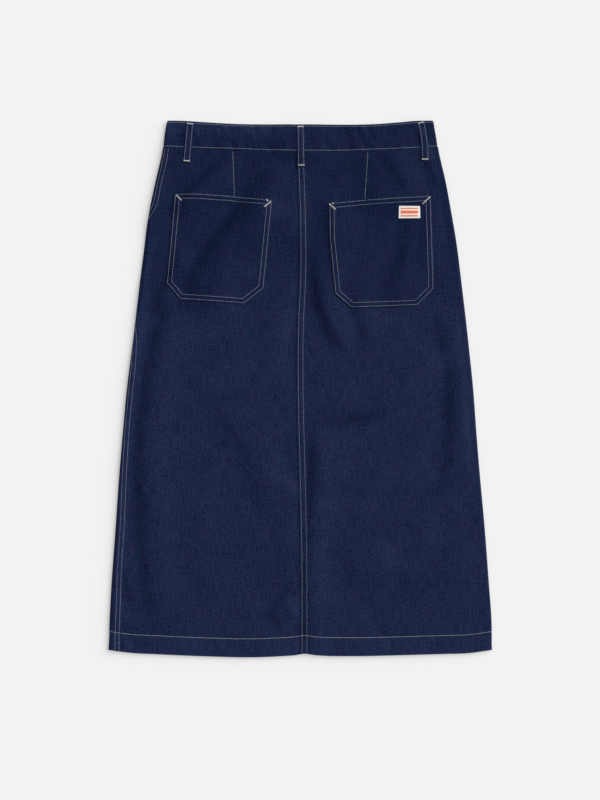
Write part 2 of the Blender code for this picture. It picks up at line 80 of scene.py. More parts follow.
# Where the two side folds lie and how high the cloth stands: at each fold,
# on the shelf just inside it, and in the middle.
SECTIONS = table(
    "y left right left_fold left_shelf middle right_shelf right_fold",
    (-371.0, -272.0, 272.0, 6.0, 5.7, 5.7, 5.7, 6.0),
    (-341.0, -271.0, 271.9, 6.0, 5.5, 5.7, 5.6, 6.0),
    (-318.0, -270.0, 270.9, 5.6, 4.6, 5.3, 5.2, 5.8),
    (-285.0, -268.2, 268.4, 5.4, 4.3, 5.2, 5.2, 5.6),
    (-200.0, -262.1, 262.0, 5.3, 4.1, 5.2, 5.1, 5.6),
    (-115.0, -256.2, 254.3, 5.3, 4.0, 5.2, 5.1, 5.6),
    (-58.0, -251.3, 249.7, 5.3, 3.9, 5.2, 5.4, 5.8),
    (-1.0, -246.0, 245.5, 5.4, 3.7, 5.2, 5.4, 5.8),
    (55.0, -239.0, 239.8, 5.4, 3.7, 5.1, 5.3, 5.8),
    (105.0, -233.0, 234.3, 5.4, 3.8, 5.0, 5.2, 5.8),
    (155.0, -227.0, 228.3, 5.4, 4.0, 5.0, 5.0, 5.6),
    (197.0, -221.6, 223.2, 5.6, 4.2, 5.0, 5.3, 5.5),
    (225.0, -218.4, 218.9, 5.8, 4.4, 5.0, 5.4, 5.5),
    (254.0, -213.8, 213.8, 5.8, 4.5, 5.0, 5.4, 5.6),
    (297.0, -204.6, 205.8, 5.8, 4.7, 5.1, 5.1, 5.8),
    (332.0, -196.5, 197.6, 6.0, 5.0, 5.2, 5.2, 6.0),
    (361.0, -191.8, 192.4, 6.0, 5.2, 5.2, 5.2, 6.0),
    (371.0, -190.4, 190.6, 6.0, 5.2, 5.2, 5.2, 6.0),
    (377.0, -189.5, 189.6, 5.8, 5.2, 5.2, 5.2, 5.8),
    (380.4, -188.7, 188.4, 5.6, 5.2, 5.2, 5.2, 5.6),
)

# The hem edge, the seam that joins the waistband, and the top edge, by how
# far across they are: -1 at the left fold, 1 at the right fold.
EDGES = table(
    "part hem seam top",
    (-1.00, -370.2, 343.0, 380.4),
    (-0.90, -373.9, 342.5, 380.2),
    (-0.75, -376.1, 341.4, 378.5),
    (-0.60, -378.0, 340.6, 376.8),
    (-0.45, -379.4, 339.6, 375.5),
    (-0.28, -380.4, 338.3, 375.1),
    (-0.10, -378.8, 337.3, 375.0),
    (-0.02, -377.2, 337.0, 374.9),
    (0.02, -375.4, 337.0, 374.9),
    (0.08, -377.3, 337.0, 374.9),
    (0.30, -378.7, 337.2, 374.7),
    (0.45, -378.0, 338.2, 374.8),
    (0.60, -376.9, 339.0, 375.9),
    (0.75, -375.7, 340.0, 378.0),
    (0.90, -374.2, 341.9, 380.3),
    (1.00, -370.2, 343.0, 380.4),
)

# Folds in the back.  A roll is a soft step on a curve through three places:
# the cloth is high on the right of the curve's run and low on its left, or
# the other way round where its height is negative.
ROLLS = table(
    "x1 y1 x2 y2 x3 y3 half_width height",
    # over the left pocket and beside it
    (-170.0, 104.0, -120.0, 210.0, -28.0, 314.0, 22.0, 6.6),
    (-116.0, 250.0, -66.0, 298.0, -12.0, 322.0, 8.0, 1.2),
    (-188.0, 256.0, -146.0, 292.0, -80.0, 342.0, 12.0, 4.0),
    (-220.0, 108.0, -190.0, 160.0, -174.0, 226.0, 16.0, 4.2),
    (-94.0, 190.0, -64.0, 252.0, -12.0, 334.0, 19.0, 1.7),
    # down the left side and across the left panel
    (-206.0, -350.0, -230.0, -94.0, -190.0, 126.0, 15.0, 2.4),
    (-232.0, -322.0, -248.0, -278.0, -261.0, -236.0, 11.0, 1.7),
    (-50.0, -200.0, -80.0, -98.0, -146.0, 6.0, 20.0, 1.3),
    (2.0, -150.0, -22.0, -128.0, -56.0, -112.0, 20.0, -2.0),
    (-54.0, -322.0, -30.0, -304.0, -2.0, -290.0, 12.0, 2.4),
    (-20.0, -372.0, -22.0, -270.0, -40.0, -170.0, 22.0, 1.2),
    # beside the centre seam
    (-20.0, 0.0, -22.0, 70.0, -13.0, 138.0, 13.0, -1.4),
    (74.0, 50.0, 30.0, 104.0, 18.0, 222.0, 14.0, 3.2),
    (98.0, 50.0, 81.0, 101.0, 60.0, 142.0, 13.0, 1.8),
    (8.0, -392.0, 10.0, -214.0, 22.0, -26.0, 10.0, 1.7),
    (84.0, -126.0, 54.0, -140.0, 28.0, -158.0, 14.0, 1.6),
    # round the right pocket
    (50.0, 130.0, 42.0, 212.0, 24.0, 296.0, 14.0, 1.2),
    (108.0, 116.0, 140.0, 178.0, 156.0, 268.0, 14.0, 1.6),
    (172.0, 150.0, 173.0, 205.0, 175.0, 262.0, 9.0, 0.9),
    (213.0, 178.0, 205.0, 233.0, 196.0, 288.0, 12.0, -1.4),
    (152.0, 268.0, 135.0, 304.0, 102.0, 344.0, 12.0, 1.4),
    (199.0, 276.0, 184.0, 314.0, 158.0, 350.0, 13.0, 1.6),
    (106.0, 225.0, 98.0, 290.0, 84.0, 352.0, 34.0, 2.6),
    # across the right panel and down the right side
    (213.0, 70.0, 152.0, -16.0, 4.0, -55.0, 15.0, 4.4),
    (198.0, -160.0, 211.0, -20.0, 188.0, 122.0, 15.0, 2.1),
    (150.0, -250.0, 110.0, -270.0, 66.0, -287.0, 18.0, 1.8),
    (181.0, -236.0, 159.0, -205.0, 145.0, -162.0, 17.0, 1.2),
)

# A ridge, or a trough where its height is negative, on such a curve.
CREASES = table(
    "x1 y1 x2 y2 x3 y3 half_width height",
    (3.0, 212.0, 5.0, 128.0, 0.0, 27.0, 21.0, -1.0),
    (52.0, 250.0, 54.0, 190.0, 46.0, 130.0, 18.0, 0.6),
    (25.0, -62.0, 27.0, -150.0, 20.0, -310.0, 20.0, 0.6),
    (196.0, 46.0, 170.0, 10.0, 130.0, -18.0, 12.0, -1.2),
    (-14.0, 196.0, -9.0, 252.0, -6.0, 312.0, 28.0, 1.6),
)
CREASE_STEPS = 8        # straight stretches that stand for a fold's curve
LATTICE = 64            # an uneven swell repeats after this many periods
ROLL_REACH = 4.0        # a roll dies out this many half widths away,
ROLL_CREST = 1.5        # beginning here
ROLL_LIFT = 0.45        # the cloth at the roll is lifted by this share of its height
ROLL_LIFTED = 0.5       # as far as this, in half widths
ROLL_EASE = 60.0        # a long roll fades away over this much of each end,
ROLL_EASE_MOST = 0.35   # and a short one over this share of its length

# Low, uneven swells all over the back
SWELLS = table("height period seed", (0.16, 46.0, 3.0), (0.09, 21.0, 4.0))


def along(rows, column, place):
    """Smooth value of a table's column, looked up by its first column."""
    keys = next(iter(rows.values()))
    values = rows[column]
    slopes = np.gradient(values, keys)
    low = np.clip(np.searchsorted(keys, place) - 1, 0, len(keys) - 2)
    span = keys[low + 1] - keys[low]
    t = np.clip((place - keys[low]) / span, 0.0, 1.0)
    return (
        values[low] * (1.0 + 2.0 * t) * (1.0 - t) ** 2
        + values[low + 1] * t * t * (3.0 - 2.0 * t)
        + slopes[low] * span * t * (1.0 - t) ** 2
        - slopes[low + 1] * span * t * t * (1.0 - t)
    )


def fade(distance, start, end):
    """1 up to start, falling smoothly to 0 at end."""
    t = np.clip((distance - start) / (end - start), 0.0, 1.0)
    return 1.0 - t * t * (3.0 - 2.0 * t)


def uneven(x, y, period, seed):
    """Smooth seeded swell between -1 and 1, about one period from hill to hill."""
    lattice = np.random.default_rng(seed).uniform(-1.0, 1.0, (LATTICE, LATTICE))
    u, v = x / period, y / period
    i, j = np.floor(u).astype(int), np.floor(v).astype(int)
    right, up = 1.0 - fade(u - i, 0.0, 1.0), 1.0 - fade(v - j, 0.0, 1.0)
    columns = i % LATTICE, (i + 1) % LATTICE
    low, high = (
        lattice[columns[0], row % LATTICE] * (1.0 - right) + lattice[columns[1], row % LATTICE] * right
        for row in (j, j + 1)
    )
    return low * (1.0 - up) + high * up


def fold_sizes(side, y):
    """Height, half width and length of cloth of a side fold."""
    height = along(SECTIONS, side + "_fold", y)
    half_width = height / 2.0 * FOLD_ROUNDNESS
    return height, half_width, math.pi * (height / 2.0 + half_width) / 2.0


def left_turn(y):
    """x where the back face starts to turn over the left fold."""
    return along(SECTIONS, "left", y) + fold_sizes("left", y)[1]


def right_turn(y):
    """x where the back face starts to turn over the right fold."""
    return along(SECTIONS, "right", y) - fold_sizes("right", y)[1]


def side_folds(across, y):
    """For each side: its sign, how far round it, and its sizes."""
    for outward, side, turn in ((-1.0, "left", left_turn(y)), (1.0, "right", right_turn(y))):
        height, half_width, length = fold_sizes(side, y)
        yield outward, turn, (across - turn) * outward, height, half_width, length


def laid_x(across, y):
    """x of a place on the cloth once it is turned over the folds."""
    x = np.array(across, dtype=float)
    for outward, turn, past, _, half_width, length in side_folds(across, y):
        angle = math.pi * np.clip(past / length, 0.0, 1.0)
        x = np.where(past > 0.0, turn + outward * half_width * np.sin(angle), x)
        x = np.where(past > length, turn - outward * (past - length), x)
    return x


def part_across(across, y):
    """-1 on the left fold, 1 on the right fold, the same above and below."""
    left, right = left_turn(y), right_turn(y)
    return np.clip((2.0 * laid_x(across, y) - left - right) / (right - left), -1.0, 1.0)


def from_curve(x1, y1, x2, y2, x3, y3, x, y):
    """Distance off a curve, right of its run positive, and 0 to 1 along it."""
    steps = np.linspace(0.0, 1.0, CREASE_STEPS + 1)
    start, bend, end = (1.0 - steps) ** 2, 2.0 * steps * (1.0 - steps), steps ** 2
    path_x = start * x1 + bend * (2.0 * x2 - (x1 + x3) / 2.0) + end * x3
    path_y = start * y1 + bend * (2.0 * y2 - (y1 + y3) / 2.0) + end * y3
    nearest = np.full_like(x, np.inf)
    along_it = np.zeros_like(x)
    for i in range(CREASE_STEPS):
        run_x, run_y = path_x[i + 1] - path_x[i], path_y[i + 1] - path_y[i]
        off_x, off_y = x - path_x[i], y - path_y[i]
        t = np.clip((off_x * run_x + off_y * run_y) / (run_x ** 2 + run_y ** 2), 0.0, 1.0)
        away = np.hypot(off_x - t * run_x, off_y - t * run_y)
        away = np.where(off_x * run_y > off_y * run_x, away, -away)
        along_it = np.where(np.abs(away) < np.abs(nearest), (i + t) / CREASE_STEPS, along_it)
        nearest = np.where(np.abs(away) < np.abs(nearest), away, nearest)
    return nearest, along_it


def roll_profile(away):
    """A soft step, 2 high over two half widths, standing a little off the cloth."""
    step = 2.0 * away / (1.0 + away * away) * fade(np.abs(away), ROLL_CREST, ROLL_REACH)
    return step + ROLL_LIFT * fade(np.abs(away), ROLL_LIFTED, ROLL_REACH)


def crease_profile(away):
    """A soft ridge, one half width from its crest to its foot."""
    return fade(np.abs(away), 0.0, 1.0)


def crease_height(x, y):
    """Sum of the rolls, ridges and troughs at a place on the back."""
    total = np.zeros_like(x)
    for rows, profile, reach in ((ROLLS, roll_profile, ROLL_REACH), (CREASES, crease_profile, 1.0)):
        for x1, y1, x2, y2, x3, y3, half_width, height in zip(*rows.values()):
            far = reach * half_width
            close = (x > min(x1, x2, x3) - far) & (x < max(x1, x2, x3) + far)
            close &= (y > min(y1, y2, y3) - far) & (y < max(y1, y2, y3) + far)
            away, way = from_curve(x1, y1, x2, y2, x3, y3, x[close], y[close])
            ease = min(ROLL_EASE / math.hypot(x3 - x1, y3 - y1), ROLL_EASE_MOST)
            ends = 1.0 - fade(np.minimum(way, 1.0 - way), 0.0, ease)
            total[close] += height * ends * profile(away / half_width)
    return total


def least_height(x, y):
    """Lowest that the back can lie on what is under it."""
    part = part_across(x, y)
    above_hem = y - along(EDGES, "hem", part)
    below_seam = along(EDGES, "seam", part) - y
    hem = 2.0 * (HEM_WALL - CLOTH) * fade(above_hem - HEM_DEPTH, *HEM_EASE)
    past = np.abs(x - FRONT_OPENING) - BAND_OVERLAP
    from_button = np.hypot(x - FRONT_OPENING, y - BUTTON_Y)
    band = BAND_WALL - CLOTH + (BAND_WALL + JOINT) * fade(past, *OVERLAP_EASE)
    band += BUTTON_RISE * fade(from_button, *BUTTON_EASE)
    return UNDERSIDE + 2.0 * CLOTH + LAYER_AIR + hem + band * fade(below_seam, *BAND_EASE)


def back_height(x, y):
    """Height of the back face before anything is sewn on it."""
    from_left, from_right = x - left_turn(y), right_turn(y) - x
    middle = along(SECTIONS, "middle", y)
    height = middle
    for side, inward in (("left", from_left), ("right", from_right)):
        shelf = along(SECTIONS, side + "_shelf", y)
        fold = along(SECTIONS, side + "_fold", y)
        height = height + (shelf - middle) * fade(inward, SHELF_NEAR, SHELF_FAR)
        height = height + (fold - shelf) * fade(inward, 0.0, SHELF_NEAR)
    inside = 1.0 - fade(np.minimum(from_left, from_right), *FOLD_EASE)
    swell = sum(size * uneven(x, y, period, int(seed)) for size, period, seed in zip(*SWELLS.values()))
    clear = height + (crease_height(x, y) + swell) * inside - least_height(x, y)
    return least_height(x, y) + (clear + np.sqrt(clear * clear + LANDING ** 2)) / 2.0


def lay(across, y, step=0.0, left_lift=None, right_lift=None):
    """Points of the tube; step raises the back, lifts raise the underside."""
    x, left, right = laid_x(across, y), left_turn(y), right_turn(y)
    top = back_height(np.clip(across, left, right), y) + step
    z = top
    lifts = left_lift, right_lift
    for (_, _, past, _, _, length), lift in zip(side_folds(across, y), lifts):
        turned = UNDERSIDE + (top - UNDERSIDE) / 2.0 * (1.0 + np.cos(math.pi * past / length))
        z = np.where(past > 0.0, turned, z)
        z = np.where(past > length, UNDERSIDE + (lift(x, y) if lift else 0.0), z)
    return np.stack((x, y, z), axis=-1)


def outward_normals(across, y, **how):
    """Unit normals of the tube's level sections, pointing out of it."""
    step = 0.02
    run = lay(across + step, y, **how) - lay(across - step, y, **how)
    normals = np.stack((-run[..., 2], 0.0 * y, run[..., 0]), axis=-1)
    return normals / np.linalg.norm(normals, axis=-1, keepdims=True)


# ------------------------------------------------------------ indigo denim
# Right-hand twill with a rope-dyed indigo warp over an undyed weft, washed
# once.  Slubs in the warp make short streaks up and down the cloth.
MM = 0.001              # a millimetre in metres


def linear(hex_colour):
    """Linear RGBA of an sRGB hex colour."""
    channels = [int(hex_colour[i:i + 2], 16) / 255.0 for i in (0, 2, 4)]
    return [c / 12.92 if c <= 0.04045 else ((c + 0.055) / 1.055) ** 2.4 for c in channels] + [1.0]


def connect(material, node, inputs):
    """Link a node's inputs, or set those that are constants."""
    for socket, value in inputs.items():
        if isinstance(value, bpy.types.NodeSocket):
            material.node_tree.links.new(value, node.inputs[socket])
        else:
            node.inputs[socket].default_value = value


def add_node(material, kind, inputs, output=0, **settings):
    """One output of a new node, made with its settings and links."""
    node = material.node_tree.nodes.new("ShaderNode" + kind)
    for name, value in settings.items():
        setattr(node, name, value)
    connect(material, node, inputs)
    return node.outputs[output]


def new_material(name):
    """An empty node material, with its Principled shader."""
    material = bpy.data.materials.new(name)
    material.use_nodes = True
    return material, material.node_tree.nodes["Principled BSDF"]


# Streaks and patches: width across the warp, length along it, and detail
WEAVE = {
    "slub": (1.5, 3.8, 1.0),            # thick places in the warp yarn
    "long_slub": (1.5, 22.0, 0.0),      # a few that run on
    "weft": (14.0, 1.5, 0.0),           # fainter ones in the weft
    "cloud": (45.0, 63.0, 2.0),         # uneven dye and wash
    "cast": (9.0, 18.0, 2.0),           # where the indigo leans to violet or to teal
}
STRENGTHS = {"slub": 1.4, "long_slub": 0.7, "weft": 0.35, "cloud": 0.35}
PALE_SHARE = -0.9       # share of pale yarn where every streak is at its least
PAINTED_SHADE_FROM = 90.0       # painted shade: towards the waist the cloth is drawn darker,
PAINTED_SHADE_TO = 230.0
PAINTED_SHADE = 0.06            # with less pale yarn, which leans further to teal
TWILL = 1.6             # rib spacing: 0.75 in the cloth, too fine to show, so drawn coarser
TWILL_TURN = math.radians(-60.0)
WAVE_SCALE = 2.0 * math.pi / 20.0       # a wave texture's bands are this far apart at scale 1
RUBS_OFF = 2.0          # where the yarn is pale, wear and painted light show this much more
RIB_RELIEF = 0.35       # how far a rib stands up, and a slub, in BUMPS
SLUB_RELIEF = 1.2
BUMPS = 0.25


def denim_material(name, deep, violet, teal, worn_and_lit):
    """Indigo twill between its deepest yarn and its paler ones, and its worn colour, which also stands for
    painted light; drawn darker towards the waist as painted shade.
    """
    material, shader = new_material(name)
    place = add_node(material, "Attribute", {}, "Vector", attribute_name="cloth")
    wear_and_painted_light = add_node(material, "Attribute", {}, "Fac", attribute_name="wear_and_painted_light")
    height = add_node(material, "SeparateXYZ", {0: place}, "Y")
    noise = {}
    for kind, (width, length, detail) in WEAVE.items():
        scaled = add_node(material, "Mapping", {"Vector": place, "Scale": (1.0 / width, 1.0 / length, 1.0)})
        noise[kind] = add_node(material, "TexNoise", {"Vector": scaled, "Scale": 1.0, "Detail": detail})
    # Painted shade: less pale yarn, so darker cloth, towards the waist.
    painted_shade = add_node(material, "MapRange", {
        "Value": height, "From Min": PAINTED_SHADE_FROM, "From Max": PAINTED_SHADE_TO, "To Min": 0.0, "To Max": PAINTED_SHADE})
    share = add_node(material, "Math", {0: PALE_SHARE, 1: painted_shade}, operation="SUBTRACT")
    for kind, strength in STRENGTHS.items():
        share = add_node(material, "Math", {0: noise[kind], 1: strength, 2: share}, operation="MULTIPLY_ADD")
    cast = add_node(material, "Math", {0: noise["cast"], 1: painted_shade}, operation="ADD")
    pale = add_node(material, "Mix", {0: cast, 6: linear(violet), 7: linear(teal)}, 2, data_type="RGBA")
    yarn = add_node(material, "Mix", {0: share, 6: linear(deep), 7: pale}, 2, data_type="RGBA")
    # The worn colour shows where the cloth is worn, and also where light is painted on.
    raised = add_node(material, "Math", {0: share, 1: RUBS_OFF}, operation="MULTIPLY")
    rubbed_and_lit = add_node(material, "Math", {0: wear_and_painted_light, 1: raised}, operation="MULTIPLY")
    colour = add_node(material, "Mix", {0: rubbed_and_lit, 6: yarn, 7: linear(worn_and_lit)}, 2, data_type="RGBA")
    turned = add_node(material, "Mapping", {"Vector": place, "Rotation": (0.0, 0.0, TWILL_TURN)})
    ribs = add_node(material, "TexWave", {
        "Vector": turned, "Scale": WAVE_SCALE / TWILL, "Distortion": 1.2, "Detail": 1.0}, "Fac")
    thick = add_node(material, "Math", {0: noise["slub"], 1: SLUB_RELIEF}, operation="MULTIPLY")
    relief = add_node(material, "Math", {0: ribs, 1: RIB_RELIEF, 2: thick}, operation="MULTIPLY_ADD")
    bump = add_node(material, "Bump", {"Height": relief, "Strength": 0.35, "Distance": BUMPS * MM})
    connect(material, shader, {
        "Base Color": colour, "Normal": bump, "Roughness": 0.62, "Specular IOR Level": 0.05,
        "Sheen Weight": 0.025, "Sheen Roughness": 0.5, "Sheen Tint": linear("8C9CC8"),
    })
    return material


# 3A4A6E is the worn colour, also used for painted light.
denim = denim_material("indigo_twill_denim", "030C28", "281D47", "0B2C45", "3A4A6E")


def dress(piece, material, slot, *nodes):
    """Give a piece its material, and let it stand for its CAD nodes."""
    piece.data.materials.append(material)
    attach(piece, "root")
    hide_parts(*nodes)


# ------------------------------------------------------------- back panels
# Two panels of denim, joined down the centre back by a felled seam: the left
# one laps the right one in a raised band, sewn down with twin rows.
LAP_WIDTH = 10.5        # raised band of a felled seam
RIGHT_SEAM_IN = 14.0    # right side seam, in from the fold on the underside
HEM_ROW = 26.3          # the hem's row of stitching, above its edge
LAP_ROWS = (2.0, 8.6)   # twin rows, in from the edge of the centre-back seam
SIDE_ROWS = (1.8, 7.3)  # and of a side seam
GROOVE = 0.18           # how deep the thread pulls the cloth in
GROOVE_HALF = 0.8
PUCKER = 0.30           # and the deepest of the puckers beside it
PUCKER_PERIOD = 9.0
PUCKER_REACH = 6.0
HEM_REACH = 8.0         # they reach further from the hem's row
SEAM_REACH = 3.0        # and less far from a felled seam's
HEM_ROPE = 0.4          # depth of the slanting ropes that the hem has twisted into
ROPE_PERIOD = 7.0
ROPE_SLANT = 0.8
ROPE_DRIFT = 0.15
ROPE_MIDDLE = 15.0      # they are deepest this far above the hem edge
ROPE_ENDS = (6.0, 14.0)     # and fade out between these on both sides of it
DARTS = table(
    "y_top x_top y_low x_low",
    (339.5, -95.7, 273.0, -93.3),
    (337.6, 95.8, 272.0, 91.8),
)
DART_TUCK = 0.2         # a dart's row pulls the cloth in by this
DART_HALF = 5.0
DART_TAPER = (0.55, 1.1)    # it tapers off between these shares of its length

# Centre-back seam: the middle of its twin rows of stitching
CENTRE_SEAM = table(
    "y x",
    (-380.0, 6.0), (-257.0, 5.9), (-115.0, 3.4), (-16.0, 1.0), (91.0, 1.2),
    (162.0, 4.3), (261.0, 3.6), (315.0, 1.7), (345.0, 1.2),
)

# Left side seam: length of cloth from the fold's outermost line to its edge
SIDE_SEAM = table(
    "y arc",
    (-371.0, 18.6), (-300.0, 17.6), (-243.0, 16.0), (-186.0, 15.4), (-129.0, 13.9),
    (-72.0, 12.4), (-16.0, 12.0), (41.0, 11.0), (70.0, 8.5), (98.0, 3.0), (130.0, 1.6),
    (225.0, 1.6), (240.0, 4.0), (254.0, 10.8), (291.0, 12.4), (314.0, 12.8), (345.0, 11.6),
)


def centre_seam(y):
    """Edge where the left back laps the right back."""
    return along(CENTRE_SEAM, "x", y) + LAP_WIDTH / 2.0


def side_seam(y):
    """Edge where the front laps the left back, near the left fold."""
    length = fold_sizes("left", y)[2]
    return left_turn(y) - length / 2.0 + along(SIDE_SEAM, "arc", y)


def right_bottom(y):
    """Where the right fold comes down on to the table."""
    return right_turn(y) + fold_sizes("right", y)[2]


def right_seam(y):
    """Right side seam, on the underside."""
    return right_bottom(y) + RIGHT_SEAM_IN


def moved(edge, distance):
    """An edge moved along the cloth."""
    return lambda y: edge(y) + distance


def dent(away, along_row, seed, reach=PUCKER_REACH):
    """Depth of a stitch row's groove and of the puckers on both its sides."""
    drawn = 0.5 + 0.5 * uneven(along_row, 0.0 * away, PUCKER_PERIOD, seed)
    pucker = PUCKER * drawn * np.exp(-((away / reach) ** 2))
    return GROOVE * np.exp(-((away / GROOVE_HALF) ** 2)) + pucker


def panel_dents(across, y):
    """How far all the rows of stitching pull a panel's outer face in."""
    above_hem = y - along(EDGES, "hem", part_across(across, y))
    depth = dent(above_hem - HEM_ROW, across, 11, HEM_REACH)
    rope = 0.5 + 0.5 * uneven(across + ROPE_SLANT * above_hem, ROPE_DRIFT * above_hem, ROPE_PERIOD, 12)
    depth = depth + HEM_ROPE * rope * fade(np.abs(above_hem - ROPE_MIDDLE), *ROPE_ENDS)
    for seed, edge, inward, insets in (
        (21, centre_seam, -1.0, LAP_ROWS), (31, side_seam, -1.0, SIDE_ROWS), (41, right_seam, 1.0, SIDE_ROWS),
    ):
        for inset in insets:
            depth = depth + dent(across - edge(y) - inward * inset, y, seed, SEAM_REACH)
    for y_top, x_top, y_low, x_low in zip(*DARTS.values()):
        down = (y_top - y) / (y_top - y_low)
        away = np.abs(across - x_top - (x_low - x_top) * down)
        depth = depth + DART_TUCK * fade(away, 0.0, DART_HALF) * fade(down, *DART_TAPER)
    return depth


SETTLING = 4            # rounds in which a net's places and heights come to agree


def net(anchors_and_steps, low, high, share, rise):
    """Places across and up the cloth, for each row and column of a grid.

    Anchors are edges that columns follow, with a number of steps between
    each two.  Rows go from the low edge to the high one by share, plus rise.
    """
    anchors, steps = anchors_and_steps[0::2], anchors_and_steps[1::2]
    spread = [(i, j / steps[i]) for i in range(len(steps)) for j in range(steps[i])]
    spread.append((len(steps) - 1, 1.0))
    y = np.zeros((len(share), len(spread)))
    for _ in range(SETTLING):
        columns = []
        for column, (i, way) in enumerate(spread):
            height = y[:, column]
            columns.append(anchors[i](height) * (1.0 - way) + anchors[i + 1](height) * way)
        across = np.stack(columns, axis=1)
        part = part_across(across, y)
        bottom, top = along(EDGES, low, part), along(EDGES, high, part)
        y = bottom + (top - bottom) * share[:, None] + rise[:, None]
    return across, y


ROUNDING = np.array([0.0, 0.05, 0.2, 0.45, 0.9])    # rows that round off an edge
EDGE_ROUND = 0.45       # radius of a wall's edges, by its thickness
PANEL_ROWS = 205        # rows of a panel's net above those near the hem
# Those near the hem, by their distance above its stitching
HEM_NET = table(
    "start end step",
    (-24.1, -3.5, 2.3), (-2.8, 3.1, 0.62), (4.6, 19.7, 2.6),
)


def panel_net(*anchors_and_steps):
    """Rows of a panel: close together at the hem and beside its stitching."""
    at_hem = np.concatenate([ROUNDING] + [HEM_ROW + np.arange(*row) for row in zip(*HEM_NET.values())])
    even = np.linspace(0.0, 1.0, PANEL_ROWS)[1:-1]
    share = np.concatenate((np.zeros(len(at_hem)), even, np.ones(len(ROUNDING))))
    at_top = -JOINT / 2.0 - ROUNDING[::-1]
    rise = np.concatenate((at_hem, at_hem[-1] * (1.0 - even), at_top))
    return net(anchors_and_steps, "hem", "seam", share, rise)


def rounded_edge(edge, inward):
    """Anchors, a step apart, that follow an edge closely enough to round it."""
    anchors = [moved(edge, inward * (JOINT / 2.0 + far)) for far in ROUNDING]
    return [item for anchor in anchors[::int(inward)] for item in (anchor, 1)][:-1]


def edge_drop(wall, *distances):
    """How far a wall's faces close in near its edges, to round them off."""
    radius = EDGE_ROUND * wall
    close = sum(np.clip(radius - distance, 0.0, None) ** 2 for distance in distances)
    return radius - np.sqrt(np.clip(radius ** 2 - close, 0.0, None))


def link_mesh(name, bm):
    """An object in metres from a mesh in millimetres."""
    bmesh.ops.recalc_face_normals(bm, faces=bm.faces)
    bmesh.ops.scale(bm, vec=(MM, MM, MM), verts=bm.verts)
    mesh = bpy.data.meshes.new(name)
    bm.to_mesh(mesh)
    bm.free()
    mesh.shade_smooth()
    piece = bpy.data.objects.new(name, mesh)
    bpy.context.collection.objects.link(piece)
    return piece


def finish_cloth(name, bm, outer, inner, on_cloth, wear_and_painted_light):
    """Make an open sheet a closed wall of cloth.

    Each vertex keeps where it was on the flat cloth, how worn it is and how much painted light it has.
    """
    place = bm.verts.layers.float_vector.new("cloth")
    worn_and_lit = bm.verts.layers.float.new("wear_and_painted_light")
    key = bm.verts.layers.int.new("key")
    for i, vertex in enumerate(bm.verts):
        vertex.co = outer[i]
        vertex[place] = on_cloth[i]
        vertex[worn_and_lit] = wear_and_painted_light[i]
        vertex[key] = i
    made = bmesh.ops.extrude_face_region(bm, geom=bm.faces[:])
    for vertex in made["geom"]:
        if isinstance(vertex, bmesh.types.BMVert):
            vertex.co = inner[vertex[key]]
    bm.verts.layers.int.remove(key)
    return link_mesh(name, bm)


def from_edges(across, y):
    """Distances from a net's nearer end and from its nearer side."""
    near_end = np.minimum(y - y[:1], y[-1:] - y)
    return near_end, np.minimum(across - across[:, :1], across[:, -1:] - across)


def finish_net(name, across, y, face, base, normals, wall, wear_and_painted_light, bolt=0.0):
    """A net made a wall of cloth, from its outer face and what that is laid on.

    Pieces cut from elsewhere on the bolt have streaks of their own.
    """
    drop = edge_drop(wall, *from_edges(across, y))[..., None]
    depth = np.broadcast_to(wall, y.shape)[..., None] - drop
    bm = bmesh.new()
    bmesh.ops.create_grid(bm, x_segments=y.shape[1] - 1, y_segments=y.shape[0] - 1, size=1.0)
    on_cloth = np.stack((across, y, 0.0 * y + bolt), axis=-1)
    layers = face - normals * drop, base - normals * depth, on_cloth
    return finish_cloth(name, bm, *(layer.reshape(-1, 3) for layer in layers), wear_and_painted_light.ravel())


LAP_FLATTENS = 2.5      # height below which a lap flattens out to the table
HEM_RIM = 0.2           # the hem starts to thin this far short of its depth
# Dye rubbed off along the hem edge, on the hem and along a panel's sides, by distance
# from the edge, and painted light below the pockets, by height.
WEAR_AND_PAINTED_LIGHT = table(
    "rubbed start end",
    (0.30, 0.0, 2.2), (0.03, 22.3, 27.3), (0.15, 0.0, 1.2), (0.06, 90.0, 200.0),
)


def panel_face(across, y, lap=None):
    """Outer face and normals of a panel, stitching pressed in."""
    face, normals = lay(across, y), outward_normals(across, y)
    if lap:
        face[..., 2] += lap(across, y) * np.clip(face[..., 2] / LAP_FLATTENS, 0.0, 1.0)
    return face - normals * panel_dents(across, y)[..., None], normals


def panel(name, places, lap=None):
    """One panel of the skirt, with its hem turned up double."""
    across, y = places
    above_hem = y - along(EDGES, "hem", part_across(across, y))
    wall = CLOTH + (HEM_WALL - CLOTH) * fade(above_hem, HEM_DEPTH - HEM_RIM, HEM_DEPTH + CLOTH)
    face, normals = panel_face(across, y, lap)
    distances = above_hem, above_hem, from_edges(across, y)[1], y
    # Dye rubbed off at the edges and on the hem, and painted light below the pockets.
    wear_and_painted_light = sum(rubbed_and_lit * fade(away, start, end) for away, rubbed_and_lit, start, end in zip(distances, *WEAR_AND_PAINTED_LIGHT.values()))
    return finish_net(name, across, y, face, lay(across, y), normals, wall, wear_and_painted_light)


LAP_PROUD = 0.9         # height of a felled seam's raised band
LAP_RAMP = 2.5          # its slope down to the panel
LAP_UNEVEN = 0.14       # share by which its height varies
LAP_PERIOD = 11.0
LAP_FOOT = 13.4         # where the net's columns come close together for it
LAP_STEPS = 17


def raised_lap(edge, seed):
    """Height of the raised band that laps along a felled seam's edge."""
    def lap(across, y):
        raised = LAP_PROUD * (1.0 + LAP_UNEVEN * uneven(y, across, LAP_PERIOD, seed))
        return raised * fade(edge(y) - across, LAP_WIDTH, LAP_WIDTH + LAP_RAMP)
    return lap


